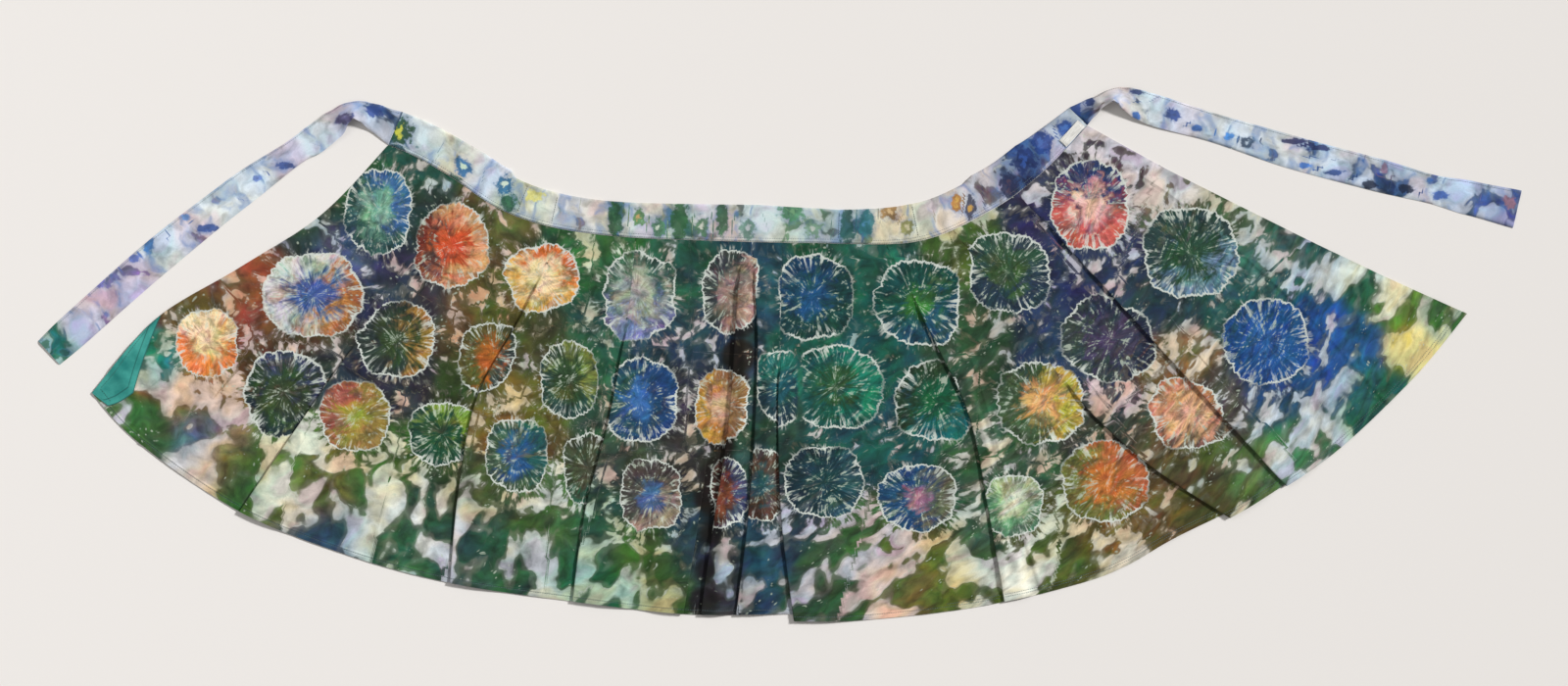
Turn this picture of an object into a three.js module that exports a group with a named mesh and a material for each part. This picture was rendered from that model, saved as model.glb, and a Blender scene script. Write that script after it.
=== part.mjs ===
// A half-circle wrap skirt of dyed cotton, opened out and laid flat, right side up.
// Millimetres, +Z up. The cloth lies on z = 0, the waist is towards +Y and the hem towards -Y.
// The skirt is one curved strip in three panels. More cloth was cut at the hem than lies flat,
// so the spare is folded away in pleats that start below the waist and deepen to the hem.
import * as THREE from "three";

// Cloth and sewing
const CLOTH_LENGTH = 540; // of a panel, from the waist seam to the hem
const CLOTH = 1.2; // wall of one layer
const BAND = 2.2; // wall of the waistband, two layers and their turnings
const TIE = 1.8; // wall of a tie, a pressed tube
const SEAM_GAP = 0.3; // between pieces that are sewn together
const HEM_DEPTH = 14; // turned up and stitched
const HEM_RISE = 0.4; // how far the turned hem stands over the single cloth
const HEM_STEP = 1.6; // length over which it rises

// Pleats: a fold turns by half a circle, back over itself, and turns again
const FOLD_ARC = 2.7; // cloth in each turn, so its radius at a half circle is 0.86
const FOLD_STEPS = 3; // straight facets in each turn
const FOLD_OPENING = 60; // length over which a pleat closes from flat to fully folded
const FOLD_CLEAR = 8; // how far past its hidden turn a pleat's upper layer stays level
const FOLD_FALL = 60; // length over which the upper layer comes down to the table
const UNFOLDED_GAP = 0.05; // keeps two points of an unfolded pleat apart
const CREASE_HALF = 8; // half the width of a pressed crease
const CREASE_OPENING = 54; // length over which a crease rises
const LEVEL_SHARE = 0.44; // of a strip, at most, is level beside a fold

const ROWS = 12; // from waist to hem
const STRIP_STEP = 36; // at most, along the waist between one pleat and the next
const STRIP_STEPS_LEAST = 2;

// The seam under the waistband, from the left end to the right one
const WAIST_SEAM = [
  { x: -557, y: 297 },
  { x: -514, y: 278 },
  { x: -462, y: 247 },
  { x: -400, y: 206 },
  { x: -326, y: 180 },
  { x: -227, y: 166 },
  { x: -87, y: 160 },
  { x: 46, y: 157 },
  { x: 196, y: 159 },
  { x: 302, y: 203 },
  { x: 374, y: 255 },
  { x: 441, y: 325 },
];

// The lower edge, from the left front corner to the right one
const HEM_EDGE = [
  { x: -981, y: -57 },
  { x: -913, y: -129 },
  { x: -769, y: -227 },
  { x: -609, y: -291 },
  { x: -462, y: -330 },
  { x: -294, y: -355 },
  { x: -133, y: -373 },
  { x: 7, y: -373 },
  { x: 119, y: -375 },
  { x: 287, y: -361 },
  { x: 427, y: -331 },
  { x: 497, y: -306 },
  { x: 567, y: -267 },
  { x: 679, y: -213 },
  { x: 791, y: -143 },
  { x: 903, y: -40 },
  { x: 983, y: 56 },
];

// The lines from waist to hem that the cloth is laid along.
//   waist, hem        where the line leaves the waist seam and meets the hem, along each
//   bow1, bow2, bow3  how far it bows to the right at a quarter, a half and three quarters
//   on_top            for a pleat, the side whose cloth lies on top; for a crease, "none"
//   start             where the fold begins, as a share of the way down
//   depth             cloth hidden under the fold at the hem, or a crease's height
//   hem_left, hem_right  how far the hem on each side hangs below the hem line
const LINES = [
  { name: "left_edge", waist: 0, hem: 0, bow1: 15, bow2: -2, bow3: -22 },
  { name: "left_crease", waist: 20, hem: 99, bow1: 8, bow2: 2, bow3: 0, on_top: "none", start: 0.2, depth: 1.2 },
  { name: "left_pleat", waist: 123, hem: 274, bow1: 0, bow2: 0, bow3: 0, on_top: "right", start: 0.45, depth: 20 },
  { name: "left_mid_pleat", waist: 277, hem: 592, bow1: -16, bow2: -42, bow3: -28, on_top: "right", start: 0.12, depth: 20 },
  { name: "left_seam", waist: 384, hem: 769, bow1: 8, bow2: 7, bow3: -4, on_top: "right", start: 0.22, depth: 30, seam: true },
  { name: "back_tuck", waist: 505, hem: 926, bow1: 6, bow2: 12, bow3: 8, on_top: "left", start: 0.55, depth: 6 },
  { name: "back_pleat_left", waist: 534, hem: 953, bow1: 7, bow2: 11, bow3: 5, on_top: "right", start: 0.06, depth: 18 },
  { name: "back_pleat_right", waist: 549, hem: 1004, bow1: 15, bow2: 16, bow3: 11, on_top: "right", start: 0.06, depth: 16 },
  { name: "right_seam", waist: 594, hem: 1086, bow1: -8, bow2: -14, bow3: -13, on_top: "right", start: 0.3, depth: 30, seam: true, hem_right: 10 },
  { name: "right_mid_pleat", waist: 741, hem: 1388, bow1: 20, bow2: 36, bow3: 20, on_top: "right", start: 0.14, depth: 30 },
  { name: "right_mid_crease", waist: 788, hem: 1442, bow1: 14, bow2: 13, bow3: 3, on_top: "none", start: 0.3, depth: 1.2 },
  { name: "right_slant_pleat", waist: 840, hem: 1733, bow1: -18, bow2: -38, bow3: -32, on_top: "right", start: 0.45, depth: 34, hem_left: -4, hem_right: 5 },
  { name: "right_pleat", waist: 945, hem: 1825, bow1: 2, bow2: 1, bow3: 0, on_top: "right", start: 0.1, depth: 8, hem_right: 3 },
  { name: "right_crease", waist: 1060, hem: 2010, bow1: 26, bow2: 28, bow3: 20, on_top: "none", start: 0.12, depth: 1.2 },
  { name: "right_edge", waist: 1085, hem: 2190, bow1: -6, bow2: -7, bow3: -6 },
];

// The waistband's width along the seam. It is eased round the curve with small tucks.
const BAND_WIDTHS = [
  { along: 0, width: 51 },
  { along: 60, width: 52 },
  { along: 172, width: 57 },
  { along: 184, width: 50 },
  { along: 330, width: 49 },
  { along: 560, width: 53 },
  { along: 672, width: 48 },
  { along: 780, width: 54 },
  { along: 884, width: 52 },
  { along: 900, width: 57 },
  { along: 990, width: 54 },
  { along: 1085, width: 36 },
];
const TUCKS = [178, 210, 262, 674, 790, 892]; // along the seam
const TUCK_RISE = 1.4; // at a tuck's edge
const TUCK_RUN = 26; // over which it rises
const TUCK_DROP = 1.5; // over which it drops again
const TUCK_CLEAR = 2.5; // no other station is nearer to a tuck than this
const BAND_STEPS = 66;

// The ties, from the waistband to the free end.
//   x, y    middle of the tie         width  across it, in plan
//   outer   height of the edge outside the bend, and inner  of the edge inside it
const LEFT_TIE = [
  { x: -546, y: 320, width: 51, outer: 0, inner: 0 },
  { x: -572, y: 334, width: 40, outer: 0, inner: 2 },
  { x: -592, y: 344, width: 30, outer: 1, inner: 10 },
  { x: -608, y: 346, width: 25, outer: 3, inner: 17 },
  { x: -622, y: 339, width: 30, outer: 2, inner: 14 },
  { x: -638, y: 324, width: 41, outer: 1, inner: 7 },
  { x: -664, y: 304, width: 42, outer: 0, inner: 2 },
  { x: -692, y: 286, width: 37, outer: 0, inner: 1 },
  { x: -776, y: 226, width: 47, outer: 0, inner: 0 },
  { x: -888, y: 137, width: 51, outer: 0, inner: 0 },
  { x: -1000, y: 38, width: 50, outer: 0, inner: 0 },
  { x: -1042, y: 0, width: 46, outer: 0, inner: 0 },
];
const RIGHT_TIE = [
  { x: 428, y: 338, width: 36, outer: 0, inner: 0 },
  { x: 444, y: 349, width: 27, outer: 1, inner: 5 },
  { x: 459, y: 359, width: 19, outer: 3, inner: 13 },
  { x: 474, y: 367, width: 18, outer: 5, inner: 17 },
  { x: 486, y: 367, width: 25, outer: 4, inner: 15 },
  { x: 499, y: 362, width: 35, outer: 3, inner: 10 },
  { x: 517, y: 354, width: 42, outer: 1, inner: 5 },
  { x: 542, y: 345, width: 45, outer: 0, inner: 2 },
  { x: 623, y: 321, width: 41, outer: 0, inner: 0 },
  { x: 736, y: 286, width: 47, outer: 0, inner: 0 },
  { x: 848, y: 256, width: 47, outer: 0, inner: 0 },
  { x: 932, y: 234, width: 41, outer: 1, inner: 0 },
  { x: 988, y: 221, width: 49, outer: 0, inner: 0 },
  { x: 1055, y: 205, width: 55, outer: 0, inner: 0 },
];
const TIE_STEPS = 48;
const TIE_ACROSS = 4;
const TIE_ROOT = 0.1; // share of the tie that turns from the band's end to its own line

// The left front corner, turned over so that the wrong side of the cloth shows: how far it
// reaches in from the panel's left edge at a share of the way down.
const TURNED_CORNER = [
  { down: 0.735, inside: 1 },
  { down: 0.8, inside: 19 },
  { down: 0.86, inside: 36 },
  { down: 0.9, inside: 48 },
  { down: 0.94, inside: 41 },
  { down: 0.98, inside: 31 },
  { down: 0.998, inside: 4 },
];
const TURNED_EDGE = 0.5; // from the panel's edge to the turned cloth's
const LABEL = { from_end: 43, length: 39, height: 14, wall: 1, above_seam: 1 };

const clamp01 = (t) => Math.min(1, Math.max(0, t));
const smooth = (t) => clamp01(t) ** 2 * (3 - 2 * clamp01(t));
const mix = (a, b, t) => a + (b - a) * t;

const splineThrough = (rows) =>
  new THREE.SplineCurve(rows.map((r) => new THREE.Vector2(r.x, r.y)));

const waistCurve = splineThrough(WAIST_SEAM);
const hemCurve = splineThrough(HEM_EDGE);
waistCurve.arcLengthDivisions = 600;
hemCurve.arcLengthDivisions = 600;
const waistAt = (along) => waistCurve.getPointAt(clamp01(along / waistCurve.getLength()));
const hemAt = (along) => hemCurve.getPointAt(clamp01(along / hemCurve.getLength()));

// A line from the waist to the hem: its chord, bowed sideways at three places.
function lineCurve(line) {
  const top = waistAt(line.waist);
  const chord = hemAt(line.hem).sub(top);
  const right = new THREE.Vector2(-chord.y, chord.x).normalize();
  const bows = [0, line.bow1, line.bow2, line.bow3, 0];
  return new THREE.SplineCurve(
    bows.map((bow, k) => top.clone().addScaledVector(chord, k / 4).addScaledVector(right, bow)),
  );
}
const curves = LINES.map(lineCurve);

const stripWidth = (i, v) => curves[i].getPoint(v).distanceTo(curves[i + 1].getPoint(v));

// The plan of the cloth between line i and the next, at a share of the way across and down.
function planPoint(i, across, v) {
  const [a, b] = [LINES[i], LINES[i + 1]];
  const point = curves[i].getPoint(v).lerp(curves[i + 1].getPoint(v), across);
  const curveLess = (at, key) =>
    at(mix(a[key], b[key], across)).sub(at(a[key]).lerp(at(b[key]), across));
  point.addScaledVector(curveLess(waistAt, "waist"), 1 - v);
  point.addScaledVector(curveLess(hemAt, "hem"), v);
  return point;
}

const downDirection = (i) =>
  hemAt(LINES[i].hem).sub(waistAt(LINES[i].waist)).normalize();

// How far a pleat has turned, and how much cloth it hides, at a share v of the way down.
function pleatState(line, v) {
  const turn = Math.PI * smooth(((v - line.start) * CLOTH_LENGTH) / FOLD_OPENING);
  const opened = line.start + FOLD_OPENING / CLOTH_LENGTH;
  const hidden = line.depth * Math.max(0, (v - opened) / (1 - opened));
  return { turn, hidden };
}

// The cloth's middle line through a pleat whose right side lies on top, as steps of
// { p, z, heading }. It is two equal and opposite turns with a straight run between.
function foldPath({ turn, hidden }) {
  const arc = (u) =>
    turn < 1e-6
      ? { p: FOLD_ARC * u, z: 0 }
      : { p: (FOLD_ARC / turn) * Math.sin(turn * u), z: (FOLD_ARC / turn) * (1 - Math.cos(turn * u)) };
  const whole = arc(1);
  const begin = hidden - whole.p;
  const path = [];
  for (let k = 0; k <= FOLD_STEPS; k++) {
    const at = arc(k / FOLD_STEPS);
    path.push({ p: begin + at.p, z: at.z, heading: (turn * k) / FOLD_STEPS });
  }
  const back = { p: begin + whole.p + hidden * Math.cos(turn), z: whole.z + hidden * Math.sin(turn) };
  for (let k = 0; k <= FOLD_STEPS; k++) {
    if (k === 0 && hidden < 1) back.p += UNFOLDED_GAP;
    const left = arc(1 - k / FOLD_STEPS);
    path.push({
      p: back.p + whole.p - left.p,
      z: back.z + whole.z - left.z,
      heading: turn * (1 - k / FOLD_STEPS),
    });
  }
  return path;
}

const foldRise = (line, v) => foldPath(pleatState(line, v)).at(-1).z;

// The columns of the cloth at a share v of the way down: places along the row, with the
// height of the cloth's middle and the slope of its wall.
function clothRow(v) {
  const row = [];
  const add = (strip, p, z, heading, drop, extra = {}) => {
    const width = stripWidth(strip, v);
    const place = (distance) => planPoint(strip, distance / width, v);
    row.push({ strip, p, z, heading, drop, place, ...extra });
  };
  LINES.forEach((line, i) => {
    const left = Math.max(0, i - 1);
    const fromLeft = i ? stripWidth(left, v) : 0;
    if (line.on_top === "right" || line.on_top === "left") {
      const state = pleatState(line, v);
      let path = foldPath(state);
      if (line.on_top === "left")
        path = path.reverse().map((c) => ({ p: -c.p, z: c.z, heading: -c.heading }));
      path.forEach((c, k) => {
        const drop = mix(line.hem_left ?? 0, line.hem_right ?? 0, k / (path.length - 1));
        const inRight = c.p >= 0;
        add(inRight ? i : left, inRight ? c.p : fromLeft + c.p, c.z, c.heading, drop, {
          fold: true,
          seam: line.seam && k === 0,
        });
      });
    } else if (i === LINES.length - 1) add(left, fromLeft, 0, 0, 0);
    else {
      const opening = ((v - line.start) * CLOTH_LENGTH) / CREASE_OPENING;
      const ridge = line.on_top ? line.depth * smooth(opening) : 0;
      add(i, 0, ridge, 0, line.hem_right ?? 0);
    }
    if (i === LINES.length - 1) return;
    const next = LINES[i + 1];
    const width = stripWidth(i, v);
    const level = (side, which) => {
      const pleat = side.on_top === which;
      const { hidden } = pleat ? pleatState(side, v) : { hidden: 0 };
      const rise = pleat ? foldRise(side, v) : 0;
      const clear = Math.min(pleat ? hidden + FOLD_CLEAR : CREASE_HALF, LEVEL_SHARE * width);
      return { rise, clear };
    };
    const near = level(line, "right");
    const far = level(next, "left");
    const start = near.clear;
    const end = width - far.clear;
    const fall = Math.min(FOLD_FALL, end - start);
    const top = Math.max(near.rise, far.rise, 1e-6);
    const steps = 1 + Math.max(STRIP_STEPS_LEAST, Math.ceil((next.waist - line.waist) / STRIP_STEP));
    for (let k = 0; k <= steps; k++) {
      const p = mix(start, end, k / steps);
      const a = near.rise * (1 - smooth((p - start) / fall));
      const b = far.rise * (1 - smooth((end - p) / fall));
      const z = top * (1 - (1 - a / top) * (1 - b / top));
      const drop = mix(line.hem_right ?? 0, next.hem_left ?? 0, p / width);
      add(i, p, z, 0, drop);
    }
  });
  return row;
}

// A closed wall between two grids of points with the same rows and columns.
function wallBetween(upper, lower) {
  const rows = upper.length;
  const cols = upper[0].length;
  const vertices = [...upper.flat(), ...lower.flat()];
  const top = (r, c) => r * cols + c;
  const under = (r, c) => rows * cols + r * cols + c;
  const index = [];
  const quad = (a, b, c, d) => index.push(a, b, c, a, c, d);
  for (let r = 0; r + 1 < rows; r++)
    for (let c = 0; c + 1 < cols; c++) {
      quad(top(r, c), top(r + 1, c), top(r + 1, c + 1), top(r, c + 1));
      quad(under(r, c), under(r, c + 1), under(r + 1, c + 1), under(r + 1, c));
    }
  for (let r = 0; r + 1 < rows; r++) {
    quad(top(r, 0), under(r, 0), under(r + 1, 0), top(r + 1, 0));
    quad(top(r + 1, cols - 1), under(r + 1, cols - 1), under(r, cols - 1), top(r, cols - 1));
  }
  for (let c = 0; c + 1 < cols; c++) {
    quad(top(0, c + 1), under(0, c + 1), under(0, c), top(0, c));
    quad(top(rows - 1, c), under(rows - 1, c), under(rows - 1, c + 1), top(rows - 1, c + 1));
  }
  const geometry = new THREE.BufferGeometry().setFromPoints(vertices);
  geometry.setIndex(index);
  geometry.computeVertexNormals();
  return geometry;
}

// The shares of the way down at which the cloth is worked out: a gap at the waist seam,
// even rows, and a close pair at the edge of the turned hem.
function rowShares() {
  const [first, last] = [2 * SEAM_GAP, CLOTH_LENGTH - HEM_DEPTH - HEM_STEP];
  const even = Array.from({ length: ROWS }, (_, k) => mix(first, last, k / (ROWS - 1)));
  return [...even, CLOTH_LENGTH - HEM_DEPTH, CLOTH_LENGTH].map((down) => down / CLOTH_LENGTH);
}

const shares = rowShares();
const clothRows = shares.map(clothRow);

// Both faces of the cloth from one column to another.
function clothPanel(from, to) {
  const face = (side) =>
    clothRows.map((row, r) =>
      row.slice(from, to + 1).map((c, k) => {
        const v = shares[r];
        const hem = side > 0 && !c.fold && r >= clothRows.length - 2 ? HEM_RISE : 0;
        const half = (side * CLOTH) / 2;
        const nudge = k === 0 && from > 0 ? SEAM_GAP : 0;
        const at = c.place(c.p - half * Math.sin(c.heading) + nudge);
        at.addScaledVector(downDirection(c.strip), c.drop * smooth((v - 0.5) / 0.5));
        return new THREE.Vector3(at.x, at.y, CLOTH / 2 + c.z + half * Math.cos(c.heading) + hem);
      }),
    );
  return wallBetween(face(1), face(-1));
}

const seams = clothRows[0].flatMap((c, k) => (c.seam ? [k] : []));

// The waistband: from the seam upwards, with a small step up and down at each tuck.
const bandWidth = (along) => {
  const k = BAND_WIDTHS.findIndex((r) => r.along >= along);
  if (k <= 0) return BAND_WIDTHS[k === 0 ? 0 : BAND_WIDTHS.length - 1].width;
  const [a, b] = [BAND_WIDTHS[k - 1], BAND_WIDTHS[k]];
  return mix(a.width, b.width, (along - a.along) / (b.along - a.along));
};
function bandPoint(along, up, z) {
  const share = clamp01(along / waistCurve.getLength());
  const tangent = waistCurve.getTangentAt(share);
  const at = waistCurve.getPointAt(share);
  return new THREE.Vector3(at.x - tangent.y * up, at.y + tangent.x * up, z);
}
const BAND_ENDS = {
  left: { along: 0, away: waistCurve.getTangentAt(0).negate() },
  right: { along: waistCurve.getLength(), away: waistCurve.getTangentAt(1) },
};
const tuckHeight = (along, share) =>
  TUCKS.reduce((rise, tuck) => {
    const behind = tuck - along;
    return behind >= 0 && behind < TUCK_RUN ? TUCK_RISE * share * (1 - behind / TUCK_RUN) : rise;
  }, 0);
function bandStations() {
  const total = waistCurve.getLength();
  const even = Array.from({ length: BAND_STEPS + 1 }, (_, k) => (total * k) / BAND_STEPS);
  const steps = TUCKS.flatMap((t) => [t - TUCK_RUN, t, t + TUCK_DROP]);
  const clearOf = even.filter((e) => steps.every((s) => Math.abs(s - e) > TUCK_CLEAR));
  return [...clearOf, ...steps].sort((a, b) => a - b);
}
function waistband() {
  const stations = bandStations();
  const face = (upper) =>
    [0, 0.5, 1].map((share) =>
      stations.map((along) => {
        const up = mix(SEAM_GAP, bandWidth(along), share);
        return bandPoint(along, up, upper ? BAND + tuckHeight(along, share) : 0);
      }),
    );
  // Rows run up the band here, so the faces are given the other way round.
  return wallBetween(face(true).reverse(), face(false).reverse());
}

// A tie: a flat strip along a curve, sewn to the band's end and lifted where it turns.
function tie(rows, bandEnd, innerSide) {
  const line = splineThrough(rows);
  const along = (key, t) => {
    const at = t * (rows.length - 1);
    const k = Math.min(rows.length - 2, Math.floor(at));
    return mix(rows[k][key], rows[k + 1][key], smooth(at - k));
  };
  const plan = (t, side) => {
    const tangent = line.getTangent(t);
    const reach = side * along("width", t);
    const own = line.getPoint(t).add(new THREE.Vector2(-tangent.y, tangent.x).multiplyScalar(reach));
    const atBand = bandPoint(bandEnd.along, (0.5 - innerSide * side) * bandWidth(bandEnd.along), 0);
    const root = new THREE.Vector2(atBand.x, atBand.y).addScaledVector(bandEnd.away, SEAM_GAP);
    return root.lerp(own, smooth(t / TIE_ROOT));
  };
  const face = (upper) =>
    Array.from({ length: TIE_ACROSS + 1 }, (_, a) =>
      Array.from({ length: TIE_STEPS + 1 }, (_, s) => {
        const t = s / TIE_STEPS;
        const side = a / TIE_ACROSS - 0.5;
        const towardsInner = side * 2 * innerSide;
        const middle = (along("outer", t) + along("inner", t)) / 2;
        const tilt = (along("inner", t) - along("outer", t)) / 2;
        const at = plan(t, side);
        return new THREE.Vector3(at.x, at.y, middle + tilt * towardsInner + (upper ? TIE : 0));
      }),
    );
  return wallBetween(face(true).reverse(), face(false).reverse());
}

// The turned corner lies on the panel: it is made from the panel's points, moved up.
function turnedCorner() {
  const steps = 3;
  const face = (upper) =>
    TURNED_CORNER.map((row) =>
      Array.from({ length: steps + 1 }, (_, k) => {
        const inside = mix(TURNED_EDGE, row.inside, k / steps);
        const at = planPoint(0, inside / stripWidth(0, row.down), row.down);
        const rest = CLOTH + HEM_RISE + SEAM_GAP;
        return new THREE.Vector3(at.x, at.y, rest + (upper ? CLOTH : 0));
      }),
    );
  return wallBetween(face(true), face(false));
}

function label() {
  const first = waistCurve.getLength() - LABEL.from_end;
  const face = (upper) =>
    [1, 0.5, 0].map((up) =>
      [0, 0.25, 0.5, 0.75, 1].map((step) =>
        bandPoint(
          first + LABEL.length * step,
          LABEL.above_seam + LABEL.height * up,
          BAND + SEAM_GAP + (upper ? LABEL.wall : 0),
        ),
      ),
    );
  return wallBetween(face(true), face(false));
}

const finish = (color) => new THREE.MeshStandardMaterial({ color, roughness: 0.85, metalness: 0 });

const skirt = new THREE.Group();
function piece(name, geometry, color) {
  const mesh = new THREE.Mesh(geometry, finish(color));
  mesh.name = name;
  skirt.add(mesh);
}

piece("left_front", clothPanel(0, seams[0]), 0x6a5a3e);
piece("back", clothPanel(seams[0], seams[1]), 0x2f4a3c);
piece("right_front", clothPanel(seams[1], clothRows[0].length - 1), 0x38506a);
piece("waistband", waistband(), 0xb4b6b8);
piece("left_tie", tie(LEFT_TIE, BAND_ENDS.left, 1), 0xb9bfd0);
piece("right_tie", tie(RIGHT_TIE, BAND_ENDS.right, -1), 0xb9c4d4);
piece("turned_corner", turnedCorner(), 0x35a39a);
piece("label", label(), 0xe8e6df);

export default skirt;
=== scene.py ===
# %% [markdown]
# # A tie-dyed wrap skirt, opened out and laid flat
#
# The skirt is a half circle of thin cotton in three panels, gathered into soft pleats that
# deepen towards the hem, with a curved waistband and a long tie at each end. It lies on a pale
# table and is seen from straight above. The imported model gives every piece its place, and this
# lesson gives every piece its cloth: the folds, the sewing and the dye.
# %% Load the frame
import math
import bpy
import numpy as np
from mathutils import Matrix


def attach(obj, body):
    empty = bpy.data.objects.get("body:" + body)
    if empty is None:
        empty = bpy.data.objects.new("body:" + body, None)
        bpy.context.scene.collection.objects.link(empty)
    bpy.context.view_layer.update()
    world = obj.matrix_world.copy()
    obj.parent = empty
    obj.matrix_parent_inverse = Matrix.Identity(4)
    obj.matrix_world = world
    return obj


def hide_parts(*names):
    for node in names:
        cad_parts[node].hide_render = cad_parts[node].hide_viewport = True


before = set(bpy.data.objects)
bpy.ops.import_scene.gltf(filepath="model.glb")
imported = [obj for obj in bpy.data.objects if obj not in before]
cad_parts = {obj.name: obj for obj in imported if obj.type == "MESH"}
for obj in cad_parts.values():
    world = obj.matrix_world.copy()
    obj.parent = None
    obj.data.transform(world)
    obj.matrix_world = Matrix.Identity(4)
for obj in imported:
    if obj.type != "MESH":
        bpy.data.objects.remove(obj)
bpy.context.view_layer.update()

MM = 0.001

# %% [markdown]
# ## Camera, table and light
#
# The view is straight down with a long lens, so that nothing leans. One pixel of the 1600 by
# 700 frame covers 1.4 mm of table, which sets the lens. Places on the cloth that are easiest to
# point at in the frame are given in its pixels, and one function turns them to millimetres.
# %% Camera
PIXEL_MM = 1.4
FRAME_W, FRAME_H = 1600, 700
ORIGIN_PX = (794.5, 360.0)  # the frame's pixel that lies over the model's origin
CAMERA_HEIGHT = 6.0
SENSOR_MM = 36.0


def from_frame(px, py):
    """Millimetres right of the origin and up from it: (pixel - origin's pixel) x 1.4."""
    return np.stack([(np.asarray(px) - ORIGIN_PX[0]) * PIXEL_MM,
                     (ORIGIN_PX[1] - np.asarray(py)) * PIXEL_MM], axis=-1)


camera = bpy.data.objects.new("camera", bpy.data.cameras.new("camera"))
camera.data.sensor_width = SENSOR_MM
camera.data.lens = SENSOR_MM * CAMERA_HEIGHT / (FRAME_W * PIXEL_MM * MM)
centre = from_frame(FRAME_W / 2, FRAME_H / 2) * MM
camera.location = (centre[0], centre[1], CAMERA_HEIGHT)
bpy.context.collection.objects.link(camera)
bpy.context.scene.camera = camera
print("lens in mm:", round(camera.data.lens, 1))

# %% Colours
bpy.context.scene.view_settings.view_transform = "Standard"  # so that a dye's colour is its hex value


def linear(code):
    """Hex to linear: c / 12.92 where c is dark, otherwise ((c + 0.055) / 1.055) to the 2.4."""
    srgb = np.array([int(code[k:k + 2], 16) for k in (0, 2, 4)]) / 255
    return np.where(srgb <= 0.04045, srgb / 12.92, ((srgb + 0.055) / 1.055) ** 2.4)


print("middle grey, linear:", np.round(linear("808080"), 3).tolist())

# %% Table
table = bpy.data.objects.new("table", bpy.data.meshes.new("table"))
TABLE_HALF = 30.0
corners = [(-1, -1), (1, -1), (1, 1), (-1, 1)]
table.data.from_pydata([(x * TABLE_HALF, y * TABLE_HALF, 0) for x, y in corners], [], [(0, 1, 2, 3)])
paper = bpy.data.materials.new("pale_table_cover")
paper.use_nodes = True
paper_shader = paper.node_tree.nodes["Principled BSDF"].inputs
paper_shader["Base Color"].default_value = (*linear("e9e5e1"), 1)
paper_shader["Roughness"].default_value = 0.9
paper_shader["Specular IOR Level"].default_value = 0.1
table.data.materials.append(paper)
bpy.context.collection.objects.link(table)
print("table side in metres:", 2 * TABLE_HALF)

# %% Lights


def add_light(name, kind, place, power, **settings):
    """A light turned to face the origin: tilt = atan(way out / height), turn = atan(y / x) + 90."""
    data = bpy.data.lights.new(name, kind)
    data.energy = power
    for key, value in settings.items():
        setattr(data, key, value)
    lamp = bpy.data.objects.new(name, data)
    lamp.location = place
    flat = math.hypot(place[0], place[1])
    lamp.rotation_euler = (math.atan2(flat, place[2]), 0, math.atan2(place[1], place[0]) + math.pi / 2)
    bpy.context.collection.objects.link(lamp)


add_light("key", "SUN", (5.0, 2.6, 4.2), 3.4, angle=math.radians(9))
add_light("fill", "AREA", (-3.0, 1.0, 4.0), 34, size=3.0)
world = bpy.data.worlds.new("studio")
world.use_nodes = True
world.node_tree.nodes["Background"].inputs["Color"].default_value = (1.0, 0.99, 0.98, 1)
world.node_tree.nodes["Background"].inputs["Strength"].default_value = 0.28
bpy.context.scene.world = world
print("lights:", [lamp.name for lamp in bpy.data.lights])

# %% [markdown]
# ## Curves
#
# A waist, a hem and a fold are each a smooth curve through a few points. A Catmull-Rom spline
# passes through its points, so the tables below can be read as places on the cloth.
# %% Splines


def spline(points, t):
    """Catmull-Rom curve at t from 0 to 1: a cubic between neighbours whose slopes are half
    the step from the point before to the point after."""
    points = np.asarray(points, float)
    last = len(points) - 1
    at = np.clip(t, 0, 1) * last
    k = np.minimum(at.astype(int), last - 1)
    w = (at - k)[..., None]
    p0, p1, p2, p3 = (points[np.clip(k + d, 0, last)] for d in (-1, 0, 1, 2))
    s1, s2 = (p2 - p0) / 2, (p3 - p1) / 2
    return (2 * p1 - 2 * p2 + s1 + s2) * w**3 + (3 * p2 - 3 * p1 - 2 * s1 - s2) * w**2 + s1 * w + p1


def measured(points):
    """The spline by the length along it, which is the sum of 3000 short chords, and that sum."""
    t = np.linspace(0, 1, 3001)
    steps = np.linalg.norm(np.diff(spline(points, t), axis=0), axis=1)
    lengths = np.concatenate([[0], np.cumsum(steps)])
    return lambda along: spline(points, np.interp(along, lengths, t)), lengths[-1]


def smooth(t):
    """0 before 0, 1 after 1, and between them t squared x (3 - 2 t), an even S."""
    t = np.clip(t, 0, 1)
    return t * t * (3 - 2 * t)


def mix(a, b, t):
    """a + (b - a) t: a where t is 0 and b where t is 1."""
    return a + (b - a) * t


WAIST_SEAM = [(-557, 297), (-514, 278), (-462, 247), (-400, 206), (-326, 180), (-227, 166),
              (-87, 160), (46, 157), (196, 159), (302, 203), (374, 255), (441, 325)]
HEM_EDGE = [(-981, -57), (-913, -129), (-769, -227), (-609, -291), (-462, -330), (-294, -355),
            (-133, -373), (7, -373), (119, -375), (287, -361), (427, -331), (497, -306),
            (567, -267), (679, -213), (791, -143), (903, -40), (983, 56)]
waist_at, WAIST_LENGTH = measured(WAIST_SEAM)
hem_at, HEM_LENGTH = measured(HEM_EDGE)
DOWN_LENGTH = 540.0  # from the waist seam to the hem, along the cloth
print("waist and hem in mm:", round(WAIST_LENGTH), round(HEM_LENGTH))

# %% [markdown]
# ## The lines the cloth is laid along
#
# A flared skirt has more cloth at its hem than lies flat, so it is folded back under itself in
# pleats. Each pleat is a line from waist to hem. The same table lays out the solids: on_top is
# the side whose cloth lies uppermost, start is where the fold begins as a share of the way
# down, and depth is the cloth that it hides at the hem, in millimetres.
# %% Pleat lines


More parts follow.
